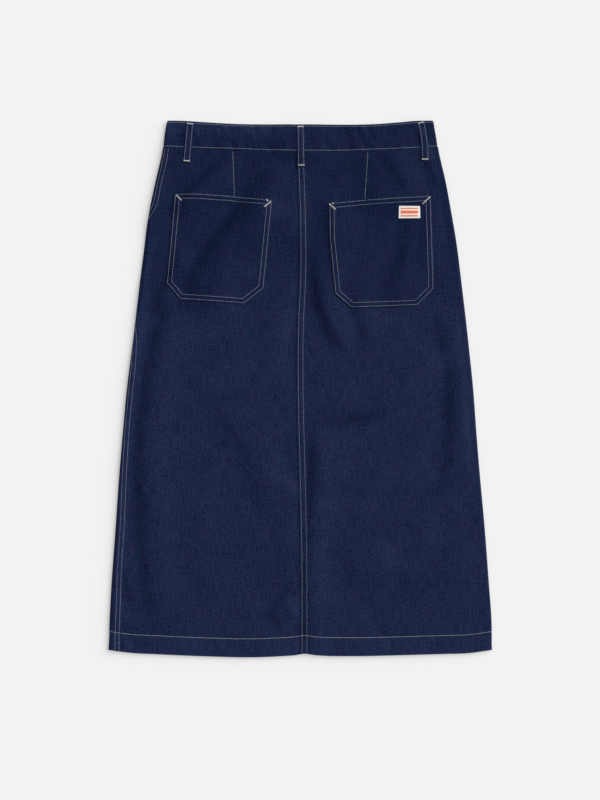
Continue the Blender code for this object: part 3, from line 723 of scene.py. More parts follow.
centre_lap = raised_lap(centre_seam, 22)
back_left = panel("back_left_panel", panel_net(
    *rounded_edge(side_seam, 1.0), 5,
    moved(side_seam, SHELF_NEAR), 72,
    moved(centre_seam, -LAP_FOOT), 5,
    moved(centre_seam, -LAP_WIDTH), LAP_STEPS,
    *rounded_edge(centre_seam, -1.0),
), centre_lap)
dress(back_left, denim, "denim", "back_left")

back_right = panel("back_right_panel", panel_net(
    *rounded_edge(centre_seam, 1.0), 72,
    moved(right_turn, -SHELF_NEAR), 7,
    right_turn, 12,
    right_bottom, 6,
    *rounded_edge(right_seam, -1.0),
))
dress(back_right, denim, "denim", "back_right")


# ------------------------------------------------------------ front panels
# Two panels that lie face down on the table and meet at the centre front.
# The left one turns over the left fold and laps the back with a felled seam.
NET_MARGIN = 1.5        # its columns come close together this far before the fold
side_lap = raised_lap(side_seam, 32)


def left_bottom(y):
    """Where the left fold comes down on to the table."""
    return left_turn(y) - fold_sizes("left", y)[2]


def under_from_left(x):
    """A place on the underside, reached round the left fold."""
    return lambda y: left_bottom(y) - (x - left_turn(y))


def under_from_right(x):
    """A place on the underside, reached round the right fold."""
    return lambda y: right_bottom(y) + (right_turn(y) - x)


def before_fold(y):
    """Where the left front leaves the table, or its seam's slope starts."""
    return np.minimum(left_bottom(y), side_seam(y) - LAP_WIDTH - LAP_RAMP) - NET_MARGIN


front_left = panel("front_left_panel", panel_net(
    *rounded_edge(under_from_left(FRONT_OPENING), 1.0), 52,
    before_fold, 10,
    moved(side_seam, -LAP_WIDTH), LAP_STEPS,
    *rounded_edge(side_seam, -1.0),
), side_lap)
dress(front_left, denim, "denim", "front_left")

front_right = panel("front_right_panel", panel_net(
    *rounded_edge(right_seam, 1.0), 52,
    *rounded_edge(under_from_right(FRONT_OPENING), -1.0),
))
dress(front_right, denim, "denim", "front_right")


# --------------------------------------------------------------- waistband
# One strip of denim folded double along the top edge and sewn on all round,
# with its ends overlapping on the hidden front under the button.
BAND_PROUD = 0.6        # its step above the panels
BAND_ROW_LOW = 1.3      # row of stitching above its lower edge
BAND_ROW_HIGH = 2.6     # and below its top edge
ROW_STEP = 0.6          # rows of its net beside the stitching
LOW_ROWS_END = 4.6      # the net is even from here, above the seam,
HIGH_ROWS_END = 6.2     # to here, below the top edge
BAND_ROWS = 12
UNDERLAP_RAMP = 24.0
BUTTON_SWELL = (11.5, 20.0)     # it comes down from over the button between these
BAND_RUBBED = 0.25      # dye rubbed off along its edges
BAND_RUBBED_WIDTH = 1.6
TOP_PAINTED_LIGHT = 0.12       # and painted light, more widely, along the top left of the centre
TOP_PAINTED_LIGHT_DOWN = (8.0, 24.0)
TOP_PAINTED_LIGHT_ACROSS = (-60.0, 40.0)
BAND_BOLT = 40.0
# Slanting ropes: how deep, their least depth, how they slant and drift, the
# distance from one to the next, and their seed.
BAND_ROPES = table(
    "depth least slant drift period seed",
    (0.65, 0.2, 0.5, 0.3, 8.5, 53.0), (0.28, 0.3, -0.3, 0.25, 5.0, 54.0),
)


def close_rows(middle, steps):
    """Evenly spaced places on both sides of a row of stitching."""
    return middle + ROW_STEP * np.arange(-steps, steps + 1)


def band_net(*anchors_and_steps):
    """Rows of the waistband, from its seam to the top edge."""
    low = np.concatenate((ROUNDING[:-1], close_rows(BAND_ROW_LOW, 2), [LOW_ROWS_END])) + JOINT / 2.0
    high = np.concatenate((ROUNDING[:-1], close_rows(BAND_ROW_HIGH, 3), [HIGH_ROWS_END]))[::-1]
    even = np.linspace(0.0, 1.0, BAND_ROWS + 2)[1:-1]
    share = np.concatenate((np.zeros(len(low)), even, np.ones(len(high))))
    rise = np.concatenate((low, low[-1] * (1.0 - even) - high[0] * even, -high))
    return net(anchors_and_steps, "seam", "top", share, rise)


def button_swell(x, y):
    """How far the waistband front stands up over its button."""
    away = np.hypot(x - FRONT_OPENING, y - BUTTON_Y)
    return BUTTON_RISE * fade(away, *BUTTON_SWELL)


def underlap_lift(x, y):
    """Height of the waistband end that lies under the back, on the other end."""
    ramp = 1.0 - fade(x, -BAND_OVERLAP - UNDERLAP_RAMP, -BAND_OVERLAP)
    return (BAND_WALL + JOINT) * ramp + button_swell(x, y)


BAND_LAY = dict(step=BAND_PROUD, left_lift=underlap_lift, right_lift=button_swell)


def band_face(across, y):
    """Outer face and normals of the waistband, stitching pressed in."""
    face, normals = lay(across, y, **BAND_LAY), outward_normals(across, y, **BAND_LAY)
    part = part_across(across, y)
    above = y - along(EDGES, "seam", part)
    below = along(EDGES, "top", part) - y
    depth = dent(above - BAND_ROW_LOW, across, 51) + dent(below - BAND_ROW_HIGH, across, 52)
    for deep, least, slant, drift, period, seed in zip(*BAND_ROPES.values()):
        depth = depth + deep * (least + uneven(across + slant * above, drift * above, period, int(seed)))
    return face - normals * depth[..., None], normals


across, y = band_net(
    *rounded_edge(under_from_left(BAND_OVERLAP), 1.0), 14,
    under_from_left(-BAND_OVERLAP), 8,
    under_from_left(-BAND_OVERLAP - UNDERLAP_RAMP), 44,
    left_bottom, 12,
    left_turn, 190,
    right_turn, 12,
    right_bottom, 54,
    under_from_right(BAND_OVERLAP), 14,
    *rounded_edge(under_from_right(-BAND_OVERLAP), -1.0),
)
face, normals = band_face(across, y)
# Painted light: the top left of the waistband is drawn paler, as if lit, besides the dye rubbed off along its
# edges.
top_painted_light = TOP_PAINTED_LIGHT * fade(y[-1:] - y, *TOP_PAINTED_LIGHT_DOWN) * fade(across, *TOP_PAINTED_LIGHT_ACROSS)
wear_and_painted_light = BAND_RUBBED * fade(from_edges(across, y)[0], 0.0, BAND_RUBBED_WIDTH) + top_painted_light
base = lay(across, y, **BAND_LAY)
waistband = finish_net("waistband_strip", across, y, face, base, normals, BAND_WALL, wear_and_painted_light, BAND_BOLT)
dress(waistband, denim, "denim", "waistband")


# ----------------------------------------------------------- patch pockets
# Two six-sided patch pockets of the same denim, their edges folded under and
# sewn to the back with twin rows.
POCKET_CLOTH = 1.0
POCKET_FOLDED = 0.35    # extra height where the edge is folded under
POCKET_FOLD = (9.0, 10.5)       # its inner edge, from where it starts to thin
POCKET_SEAT = 0.05      # air under it
POCKET_GAPE = 0.9       # the opening stands off the panel by this in its middle,
GAPE_DEPTH = 24.0       # as far down as this,
GAPE_SIDES = (8.0, 45.0)        # and growing to its most between these from its sides
SLACK = 0.3             # the rest lies a little loose, as unevenly as this,
SLACK_IN = (4.0, 30.0)          # which grows between these in from its edge
SLACK_PERIOD = 26.0
POCKET_PUCKER = 0.75    # its rows pull in less than a seam's,
PUCKER_SLANT = 0.7      # in slanting puckers,
POCKET_REACH = 4.0      # as far away as this
POCKET_RUBBED = 0.2     # dye rubbed off along its edge
POCKET_RUBBED_WIDTH = 1.5
POCKET_BOLT = 80.0
OPENING_SIDE = 30.0     # sides that run this far to the right are the opening's
LEFT_POCKET = table(
    "x y",
    (-178.0, 277.2), (-142.0, 277.2), (-104.0, 275.0), (-38.8, 267.4),
    (-51.3, 142.3), (-79.4, 120.4), (-170.1, 126.7), (-189.9, 150.1),
)
RIGHT_POCKET = table(
    "x y",
    (40.4, 264.1), (92.0, 269.0), (185.4, 274.6), (189.7, 142.0), (166.2, 118.0),
    (72.7, 114.6), (49.0, 134.8), (41.0, 214.0),
)
POCKET_ROWS = (1.7, 7.5)
# Cuts that lay edges of the mesh along the pocket's rim and stitch rows
POCKET_CUTS = (0.0, 0.05, 0.2, 0.5, 1.1, 1.7, 2.4, 6.8, 7.5, 8.2, 9.2, 10.4)
POCKET_GRID = 2.4


def back_face(x, y):
    """Height of the back's outer face at a place, before pockets."""
    return back_height(x, y) - panel_dents(x, y) + centre_lap(x, y) * (x < centre_seam(y))


def sides_of(corners):
    """Corners of a patch, clockwise, and which way is in from each side."""
    ends = np.stack((corners["x"], corners["y"]), axis=-1)
    runs = np.roll(ends, -1, axis=0) - ends
    return ends, np.stack((runs[:, 1], -runs[:, 0]), axis=-1) / np.hypot(runs[:, 0], runs[:, 1])[:, None]


def side_insets(corners, x, y):
    """Distance inside each side of a patch."""
    ends, inward = sides_of(corners)
    return (x - ends[:, :1]) * inward[:, :1] + (y - ends[:, 1:]) * inward[:, 1:]


def patch_mesh(corners, insets, grid):
    """Flat sheet cut to a patch's outline, with cuts inside its sides, and its places."""
    middle = Vector((corners["x"].mean(), corners["y"].mean(), 0.0))
    reach = max(np.ptp(corners["x"]), np.ptp(corners["y"]))
    bm = bmesh.new()
    steps = int(2.0 * reach / grid)
    bmesh.ops.create_grid(bm, x_segments=steps, y_segments=steps, size=reach)
    bmesh.ops.translate(bm, vec=middle, verts=bm.verts)
    outline = list(zip(corners["x"], corners["y"]))
    for inset in insets:
        for (x1, y1), (x2, y2) in zip(outline, outline[1:] + outline[:1]):
            outward = Vector((y1 - y2, x2 - x1, 0.0)).normalized()
            bmesh.ops.bisect_plane(
                bm, geom=bm.verts[:] + bm.edges[:] + bm.faces[:], dist=0.001,
                plane_co=Vector((x1, y1, 0.0)) - outward * inset, plane_no=outward,
                clear_outer=inset == 0.0,
            )
    x, y, _ = np.array([vertex.co for vertex in bm.verts]).T
    return bm, x, y


def finish_patch(name, bm, x, y, top, foot, drop, wear_and_painted_light, bolt=0.0):
    """A patch made a wall of cloth, from the heights of its two faces."""
    layers = [np.stack((x, y, z), axis=-1) for z in (top - drop, foot + drop, 0.0 * x + bolt)]
    return finish_cloth(name, bm, *layers, wear_and_painted_light)


def pocket_relief(corners, x, y):
    """Height of a pocket's outer face above the panel it is sewn to."""
    sides = side_insets(corners, x, y)
    inset = sides.min(axis=0)
    folded = POCKET_FOLDED * fade(inset, *POCKET_FOLD)
    depth = 0.0 * x
    for seed, row in enumerate(POCKET_ROWS):
        depth = depth + POCKET_PUCKER * dent(inset - row, x + PUCKER_SLANT * y, 61 + seed, POCKET_REACH)
    opening = np.roll(corners["x"], -1) - corners["x"] > OPENING_SIDE
    gape = POCKET_GAPE * fade(sides[opening].min(axis=0), 0.0, GAPE_DEPTH)
    gape = gape * (1.0 - fade(sides[~opening].min(axis=0), *GAPE_SIDES))
    slack = SLACK * (1.0 - fade(inset, *SLACK_IN)) * (1.0 + uneven(x, y, SLACK_PERIOD, 65))
    return POCKET_SEAT + POCKET_CLOTH + folded - depth + gape + slack


def pocket_face(corners, x, y):
    """Height of a pocket's outer face, above the table."""
    return back_face(x, y) + pocket_relief(corners, x, y)


def pocket(name, corners):
    """A patch pocket lying on the back, its edges rounded off."""
    bm, x, y = patch_mesh(corners, POCKET_CUTS, POCKET_GRID)
    inset = side_insets(corners, x, y).min(axis=0)
    relief = pocket_relief(corners, x, y) - POCKET_SEAT
    top = pocket_face(corners, x, y)
    foot = top - np.minimum(relief, 2.0 * POCKET_CLOTH)
    wear_and_painted_light = POCKET_RUBBED * fade(inset, 0.0, POCKET_RUBBED_WIDTH)
    return finish_patch(name, bm, x, y, top, foot, edge_drop(relief, inset), wear_and_painted_light, POCKET_BOLT)


pocket_left = pocket("left_patch_pocket", LEFT_POCKET)
dress(pocket_left, denim, "denim", "pocket_left")

pocket_right = pocket("right_patch_pocket", RIGHT_POCKET)
dress(pocket_right, denim, "denim", "pocket_right")


# ------------------------------------------------------------ pocket label
# A small tag of white damask ribbon, heat cut and sewn flat on the right
# pocket, with three plain orange stripes woven across it.
LABEL = table(
    "x y",
    (139.8, 259.1), (169.5, 258.9), (170.0, 241.9), (139.4, 241.7),
)
LABEL_CLOTH = 0.55
LABEL_SEAT = 0.05       # air under it
LABEL_BOW = 0.35        # its middle stands up by this,
BOW_IN = (1.0, 6.0)     # rising between these in from its edge
LABEL_SEWN = 0.12       # the stitching pulls it in by this
LABEL_ROW = 1.2
LABEL_ROW_HALF = 0.5
LABEL_CUTS = (0.0, 0.05, 0.2, 0.5, 1.0, 1.5, 2.2)
LABEL_GRID = 1.2
LABEL_WEAVE = 0.9
STRIPES = table("middle half", (250.4, 2.2), (245.2, 1.0), (255.6, 1.0))
STRIPES_X = 154.8
STRIPES_HALF = 12.5


def label_material():
    """White polyester damask: a fine even weave with a slight gloss."""
    material, shader = new_material("white_woven_ribbon")
    place = add_node(material, "Attribute", {}, "Vector", attribute_name="cloth")
    x, y = (add_node(material, "SeparateXYZ", {0: place}, axis) for axis in "XY")
    stripes = 0.0
    for middle, half in zip(*STRIPES.values()):
        stripe = add_node(material, "Math", {0: y, 1: middle, 2: half}, operation="COMPARE")
        stripes = add_node(material, "Math", {0: stripe, 1: stripes}, operation="ADD")
    between = add_node(material, "Math", {0: x, 1: STRIPES_X, 2: STRIPES_HALF}, operation="COMPARE")
    stripes = add_node(material, "Math", {0: stripes, 1: between}, operation="MULTIPLY")
    scaled = add_node(material, "Mapping", {
        "Vector": place, "Scale": (1.0 / LABEL_WEAVE, 1.0 / LABEL_WEAVE, 1.0)})
    weave = add_node(material, "TexNoise", {"Vector": scaled, "Scale": 1.0, "Detail": 1.0})
    white = add_node(material, "Mix", {0: weave, 6: linear("D9D8D2"), 7: linear("F2F1EC")}, 2,
                     data_type="RGBA")
    colour = add_node(material, "Mix", {0: stripes, 6: white, 7: linear("DE7650")}, 2, data_type="RGBA")
    bump = add_node(material, "Bump", {"Height": weave, "Strength": 0.3, "Distance": 0.1 * MM})
    connect(material, shader, {
        "Base Color": colour, "Normal": bump, "Roughness": 0.6, "Specular IOR Level": 0.3})
    return material


bm, x, y = patch_mesh(LABEL, LABEL_CUTS, LABEL_GRID)
inset = side_insets(LABEL, x, y).min(axis=0)
bow = LABEL_BOW * (1.0 - fade(inset, *BOW_IN))
sewn = LABEL_SEWN * np.exp(-(((inset - LABEL_ROW) / LABEL_ROW_HALF) ** 2))
top = pocket_face(RIGHT_POCKET, x, y) + LABEL_SEAT + LABEL_CLOTH + bow - sewn
pocket_label = finish_patch("woven_pocket_label", bm, x, y, top, top - LABEL_CLOTH,
                            edge_drop(LABEL_CLOTH, inset), 0.0 * x)
dress(pocket_label, label_material(), "label_cloth", "pocket_label")


# -------------------------------------------------------------- belt loops
# Strips of denim folded in three, sewn with twin rows and bar-tacked to the
# waistband at both ends, a little slack between them.
LOOP_WALL = 1.0
LOOP_WIDTH = 10.0
LOOP_HUMP = 0.35
LOOP_ROW = 3.5          # stitch rows each side of its middle
LOOP_EDGE = 0.2         # it lies this far above what is under it
LOOP_GROOVE = 0.25      # how deep its stitch rows pull in
LOOP_GROOVE_HALF = 0.6
LOOP_SPAN = 4.0         # it bridges hollows up to this far above and below
LOOP_STIFFNESS = 3.0    # and keeps to the highest of what lies there
LOOP_RIM = 1.0          # its net is close within this of its edges
LOOP_STEP_ACROSS = 0.5
LOOP_STEP_DOWN = 1.3
LOOP_WORN = 0.05        # dye rubbed off all over it
LOOP_RUBBED = 0.2       # and along its folds
LOOP_RUBBED_WIDTH = 1.2
LOOP_BOLT = 120.0
LOOPS = {               # top end, middle and lower end of each
    "left": table("x y", (-155.8, 377.6), (-158.2, 352.0), (-161.0, 321.5)),
    "centre": table("x y", (0.4, 373.6), (0.8, 350.0), (1.4, 315.6)),
    "right": table("x y", (171.0, 379.0), (175.6, 352.0), (176.8, 323.6)),
}
UP = np.array((0.0, 0.0, 1.0))


def under_loop(x, y):
    """Height of the waistband or of the panel below it at a place."""
    flat_x, flat_y = x.ravel(), y.ravel()
    seam = along(EDGES, "seam", part_across(flat_x, flat_y))
    on_band = band_face(flat_x, flat_y)[0][:, 2]
    return np.where(flat_y > seam, on_band, back_face(flat_x, flat_y)).reshape(x.shape)


def loop_point(line, way, side):
    """Outer face of a belt loop: way 0 to 1 down it, side in mm off its middle."""
    middle = np.stack((line["x"], line["y"]), axis=-1)
    bend = 2.0 * middle[1] - (middle[0] + middle[2]) / 2.0

    def path(t):
        t = t[..., None]
        return middle[0] * (1 - t) ** 2 + bend * 2 * t * (1 - t) + middle[2] * t ** 2

    ahead = 0.01
    heading = path(way + ahead) - path(way - ahead)
    heading /= np.linalg.norm(heading, axis=-1, keepdims=True)
    flat = path(way) + np.stack((-heading[..., 1], heading[..., 0]), axis=-1) * side[..., None]
    shifts = np.linspace(-LOOP_SPAN, LOOP_SPAN, 9)
    under = np.array([under_loop(flat[..., 0], flat[..., 1] + shift) for shift in shifts])
    weights = np.exp(LOOP_STIFFNESS * under)
    under = (under * weights).sum(axis=0) / weights.sum(axis=0)
    hump = LOOP_HUMP * np.sin(math.pi * np.clip(way, 0.0, 1.0)) ** 2
    groove = LOOP_GROOVE * np.exp(-(((np.abs(side) - LOOP_ROW) / LOOP_GROOVE_HALF) ** 2))
    height = under + LOOP_EDGE + hump + LOOP_WALL - groove
    return np.concatenate((flat, height[..., None]), axis=-1)


def belt_loop(place, line):
    """One belt loop, closed and rounded along its folds."""
    half = LOOP_WIDTH / 2.0
    length = np.hypot(line["x"][2] - line["x"][0], line["y"][2] - line["y"][0])
    rim = ROUNDING[:-1]
    left_half = np.concatenate((rim, np.arange(LOOP_RIM, half + 0.01, LOOP_STEP_ACROSS))) - half
    side = np.concatenate((left_half, -left_half[:-1][::-1]))
    end = np.concatenate((rim, np.arange(LOOP_RIM, length / 2.0, LOOP_STEP_DOWN))) / length
    side, way = np.meshgrid(side, np.concatenate((end, 1.0 - end[::-1])))
    face = loop_point(line, way, side)
    wear_and_painted_light = LOOP_WORN + LOOP_RUBBED * fade(half - np.abs(side), 0.0, LOOP_RUBBED_WIDTH)
    piece = finish_net(place + "_belt_loop", side + line["x"][0], way * length,
                       face, face, UP, LOOP_WALL, wear_and_painted_light, LOOP_BOLT)
    dress(piece, denim, "denim", "belt_loop_" + place)


for place, line in LOOPS.items():
    belt_loop(place, line)


# ------------------------------------------------------------ waist button
# A tack button of antique copper, pressed from sheet: a rolled rim round a
# dished face.  It lies face down on the table, under the waistband's end.
BUTTON_PROFILE = (
    (0.0, 0.55), (4.6, 0.55), (5.0, 0.35), (5.6, 0.35), (6.0, 0.1), (7.2, 0.02),
    (8.1, 0.15), (8.5, 0.55), (8.3, 1.0), (7.6, 1.2), (0.0, 1.2),
)
bm = bmesh.new()
profile = [bm.verts.new((radius, 0.0, height)) for radius, height in BUTTON_PROFILE]
edges = [bm.edges.new(pair) for pair in zip(profile, profile[1:])]
bmesh.ops.spin(bm, geom=profile + edges, cent=(0.0, 0.0, 0.0), axis=UP,
               angle=2.0 * math.pi, steps=64, use_merge=True)
bmesh.ops.remove_doubles(bm, verts=bm.verts, dist=0.001)
bmesh.ops.translate(bm, vec=(FRONT_OPENING, BUTTON_Y, 0.0), verts=bm.verts)
waist_button = link_mesh("copper_tack_button", bm)
copper, shader = new_material("antiqued_copper")
place = add_node(copper, "TexCoord", {}, "Object")
tarnish = add_node(copper, "TexNoise", {"Vector": place, "Scale": 900.0, "Detail": 3.0})
metal = add_node(copper, "Mix", {0: tarnish, 6: linear("6E4630"), 7: linear("B07A55")}, 2, data_type="RGBA")
connect(copper, shader, {"Base Color": metal, "Metallic": 0.9, "Roughness": 0.38})
dress(waist_button, copper, "button_metal", "waist_button")


# ------------------------------------------------------------- topstitching
# Lockstitched twin rows of thick grey-ecru thread, three millimetres to a
# stitch, each stitch dipping into its needle holes at both ends.
STITCH_PITCH = 3.1
STITCH_LENGTH = 2.8
THREAD = 0.62
HEM_THREAD = 0.95       # two strands run side by side in the hem
SEAM_THREAD = 0.48      # the felled seams' rows are pulled tight
THREAD_RISE = 0.05      # the thread's middle lies this far above the cloth
THREAD_POINT = 1.3      # how pointed a stitch's ends are: 1 is an ellipsoid's
THREAD_FLAT = 0.8       # its height over its width
PATH_STEP = 1.5         # places along a row from which its stitches are spaced
ROW_LOW = -376.0        # lowest stitches of the seams that end above the hem
SIDE_ROW_LOW = -372.0
CENTRE_ROW_HIGH = 336.5     # and the highest, under the waistband
SIDE_ROW_HIGH = 342.0
HEM_ROW_ENDS = 2.0      # the hem's row stops this far from the centre front,
BAND_ROW_ENDS = 2.5     # and the waistband's this far from its ends
DART_ROW_DROP = 2.5     # a dart's row starts this far below the waistband
DART_PLACES = 50        # its stitches are spaced from this many places


def thread_template(length, width):
    """One visible stitch: a short bead of thread, pointed at both ends."""
    bm = bmesh.new()
    bmesh.ops.create_uvsphere(bm, u_segments=6, v_segments=6, radius=0.5)
    points = np.array([vertex.co for vertex in bm.verts])
    faces = [[vertex.index for vertex in face.verts] for face in bm.faces]
    bm.free()
    swollen = np.sign(points[:, 2]) * np.abs(2.0 * points[:, 2]) ** THREAD_POINT / 2.0
    sides = points[:, 0] * width, points[:, 1] * width * THREAD_FLAT
    return np.stack((swollen * length, *sides), axis=-1), faces


def sew(name, rows, material, length=STITCH_LENGTH, width=THREAD):
    """Join stitches into one piece; rows give middles, headings and normals."""
    template, faces = thread_template(length, width)
    points = []
    for middles, headings, normals in rows:
        sideways = np.cross(normals, headings)
        sideways /= np.linalg.norm(sideways, axis=-1, keepdims=True)
        upward = np.cross(headings, sideways)
        turned = template @ np.stack((headings, sideways, upward), axis=1)
        points.append((middles[:, None, :] + turned).reshape(-1, 3))
    points = np.concatenate(points) * MM
    mesh = bpy.data.meshes.new(name)
    copies = range(0, len(points), len(template))
    faces = [[corner + first for corner in face] for first in copies for face in faces]
    mesh.from_pydata(points.tolist(), [], faces)
    mesh.shade_smooth()
    mesh.materials.append(material)
    piece = bpy.data.objects.new(name, mesh)
    bpy.context.collection.objects.link(piece)
    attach(piece, "root")


def spaced(path, normals, pitch=STITCH_PITCH):
    """Middles, headings and normals of stitches at even steps along a path."""
    normals = np.broadcast_to(normals, path.shape)
    lengths = np.concatenate(([0.0], np.cumsum(np.linalg.norm(np.diff(path, axis=0), axis=1))))
    count = max(int(lengths[-1] / pitch), 1)
    middles = (np.arange(count) + 0.5) * lengths[-1] / count

    def at(values, places):
        return np.stack([np.interp(places, lengths, values[:, i]) for i in range(3)], axis=-1)

    headings = at(path, middles + 1.0) - at(path, middles - 1.0)
    headings /= np.linalg.norm(headings, axis=-1, keepdims=True)
    upward = at(normals, middles)
    upward /= np.linalg.norm(upward, axis=-1, keepdims=True)
    return at(path, middles) + upward * THREAD_RISE, headings, upward


def thread_material(name, dark, light):
    """Spun polyester thread: matt, with a faint twist along each stitch."""
    material, shader = new_material(name)
    place = add_node(material, "TexCoord", {}, "Object")
    fibre = add_node(material, "TexNoise", {"Vector": place, "Scale": 700.0, "Detail": 2.0})
    colour = add_node(material, "Mix", {0: fibre, 6: linear(dark), 7: linear(light)}, 2, data_type="RGBA")
    connect(material, shader, {"Base Color": colour, "Roughness": 0.7, "Specular IOR Level": 0.25})
    return material


thread = thread_material("grey_ecru_topstitch_thread", "686E78", "A0A6AE")


def panel_row(across, y, lap=None):
    """Stitches along a row of places on the panels."""
    return spaced(*panel_face(across, y, lap))


def rows_beside(edge, inward, insets, low, high, lap=None):
    """Twin rows that hold down a lapped edge, from one height to another."""
    y = np.arange(low, high, PATH_STEP)
    return [panel_row(edge(y) + inward * inset, y, lap) for inset in insets]


def around(low, high, edge, rise):
    """Places at one height all round the tube, from one place across to another."""
    way = np.linspace(0.0, 1.0, int((high(0.0) - low(0.0)) / PATH_STEP))
    y = along(EDGES, edge, 0.0 * way)
    for _ in range(SETTLING):
        across = low(y) * (1.0 - way) + high(y) * way
        y = along(EDGES, edge, part_across(across, y)) + rise
    return across, y


across, y = around(moved(under_from_left(FRONT_OPENING), HEM_ROW_ENDS),
                   moved(under_from_right(FRONT_OPENING), -HEM_ROW_ENDS), "hem", HEM_ROW)
laps = side_lap(across, y) * (across < side_seam(y)) + centre_lap(across, y) * (across < centre_seam(y))
sew("hem_stitches", [panel_row(across, y, lambda across, y: laps)], thread, width=HEM_THREAD)
centre_rows = rows_beside(centre_seam, -1.0, LAP_ROWS, ROW_LOW, CENTRE_ROW_HIGH, centre_lap)
sew("centre_back_stitches", centre_rows, thread, width=SEAM_THREAD)
side_rows = rows_beside(side_seam, -1.0, SIDE_ROWS, SIDE_ROW_LOW, SIDE_ROW_HIGH, side_lap)
sew("left_side_stitches", side_rows, thread, width=SEAM_THREAD)
sew("right_side_stitches", rows_beside(right_seam, 1.0, SIDE_ROWS, SIDE_ROW_LOW, SIDE_ROW_HIGH), thread)

dart_rows = []
for y_top, x_top, y_low, x_low in zip(*DARTS.values()):
    way = np.linspace(0.0, 1.0, DART_PLACES)
    dart_y = y_top - DART_ROW_DROP + (y_low - y_top) * way
    dart_rows.append(panel_row(x_top + (x_low - x_top) * way, dart_y))
sew("dart_stitches", dart_rows, thread)

FLY_WIDTH = 34.0
FLY_DEPTH = 165.0
FLY_ROWS = (0.0, 6.0)   # in from its outer edge
FLY_CURVE = 1.2         # its curve is deeper than wide by this share
FLY_TOP = 338.0         # the seam that joins the waistband
FLY_TOP_GAP = 3.0
FLY_START = 1.0
FLY_PLACES = 60         # on its straight stretch,
TURN_PLACES = 30        # and on its curve
opening_rows = rows_beside(
    under_from_left(FRONT_OPENING), 1.0, SIDE_ROWS, ROW_LOW, FLY_TOP - FLY_DEPTH)
turn = np.linspace(0.0, math.pi / 2.0, TURN_PLACES)
for inset in FLY_ROWS:
    wide = FLY_WIDTH - inset
    curve_y = FLY_TOP - FLY_DEPTH + inset + FLY_CURVE * wide
    fly_x = np.concatenate((np.full(FLY_PLACES, wide), wide * np.cos(turn)))
    straight = np.linspace(FLY_TOP - FLY_TOP_GAP, curve_y, FLY_PLACES)
    fly_y = np.concatenate((straight, curve_y - FLY_CURVE * wide * np.sin(turn)))
    opening_rows.append(panel_row(under_from_left(FRONT_OPENING)(fly_y) + fly_x + FLY_START, fly_y))
sew("front_opening_stitches", opening_rows, thread)

band_rows = []
for edge, rise in (("seam", BAND_ROW_LOW), ("top", -BAND_ROW_HIGH)):
    across, y = around(moved(under_from_left(BAND_OVERLAP), BAND_ROW_ENDS),
                       moved(under_from_right(-BAND_OVERLAP), -BAND_ROW_ENDS), edge, rise)
    band_rows.append(spaced(*band_face(across, y)))
sew("waistband_stitches", band_rows, thread)


def inset_outline(corners, inset, step=1.2):
    """Places along a patch's outline, moved in from its sides."""
    ends, inward = sides_of(corners)
    insets = []
    for i in range(len(ends)):
        sides = np.array([inward[i - 1], inward[i]])
        reach = np.array([inward[i - 1] @ ends[i] + inset, inward[i] @ ends[i] + inset])
        insets.append(np.linalg.solve(sides, reach))
    path = []
    for start, end in zip(insets, insets[1:] + insets[:1]):
        count = int(np.linalg.norm(end - start) / step)
        path.extend(start + (end - start) * i / count for i in range(count))
    return np.array(path + [insets[0]])


def pocket_row(corners, inset):
    """Stitches along a pocket's outline."""
    path = inset_outline(corners, inset)
    height = pocket_face(corners, path[:, 0], path[:, 1])
    return spaced(np.column_stack((path, height)), UP)


for name, corners in (("left_pocket_stitches", LEFT_POCKET), ("right_pocket_stitches", RIGHT_POCKET)):
    sew(name, [pocket_row(corners, inset) for inset in POCKET_ROWS], thread)

LOOP_ROW_WAY = np.linspace(0.04, 0.96, 40)
loop_rows = []
for line in LOOPS.values():
    for offset in (-LOOP_ROW, LOOP_ROW):
        face = loop_point(line, LOOP_ROW_WAY, 0.0 * LOOP_ROW_WAY + offset)
        loop_rows.append(spaced(face, UP))
sew("belt_loop_stitches", loop_rows, thread)


# --------------------------------------------------------------- bar tacks
# Close zigzags of off-white thread, about two millimetres high, that hold both
# ends of each belt loop and the top corners of the pockets.
TACK_PITCH = 0.5
TACK_HEIGHT = 2.1
TACK_THREAD = 0.42
TACK_SLANT = 0.14       # each thread of the zigzag slants this much
TACK_RISE = 0.1         # above the stitches' height
LOOP_TACK_SIDE = np.linspace(-4.5, 4.5, 19)     # across a loop
# How far down each loop its two tacks are
LOOP_TACKS = {"left": (0.035, 0.97), "centre": (0.05, 0.98), "right": (0.03, 0.97)}
# On the pockets' top corners, and the two short ends of thread beside them
POCKET_TACKS = table(
    "x1 y1 x2 y2",
    (-176.1, 275.6, -168.0, 266.9),
    (-40.8, 265.0, -50.7, 257.3),
    (39.9, 263.3, 50.5, 254.3),
    (184.8, 273.2, 173.5, 262.1),
    (-47.6, 268.6, -46.2, 264.6),
    (44.8, 263.6, 47.8, 262.8),
)
POCKET_TACK_WAY = np.linspace(0.08, 1.0, 14)
white_thread = thread_material("off_white_bar_tack_thread", "B3B2AD", "DFDED8")


def bar_tack(face):
    """Short threads set side by side across a line of points."""
    middles, headings, upward = spaced(face, UP, TACK_PITCH)
    sideways = np.cross(upward, headings)
    slant = TACK_SLANT * np.where(np.arange(len(middles)) % 2, 1.0, -1.0)[:, None]
    crossing = sideways + slant * headings
    crossing /= np.linalg.norm(crossing, axis=-1, keepdims=True)
    return middles + upward * TACK_RISE, crossing, upward


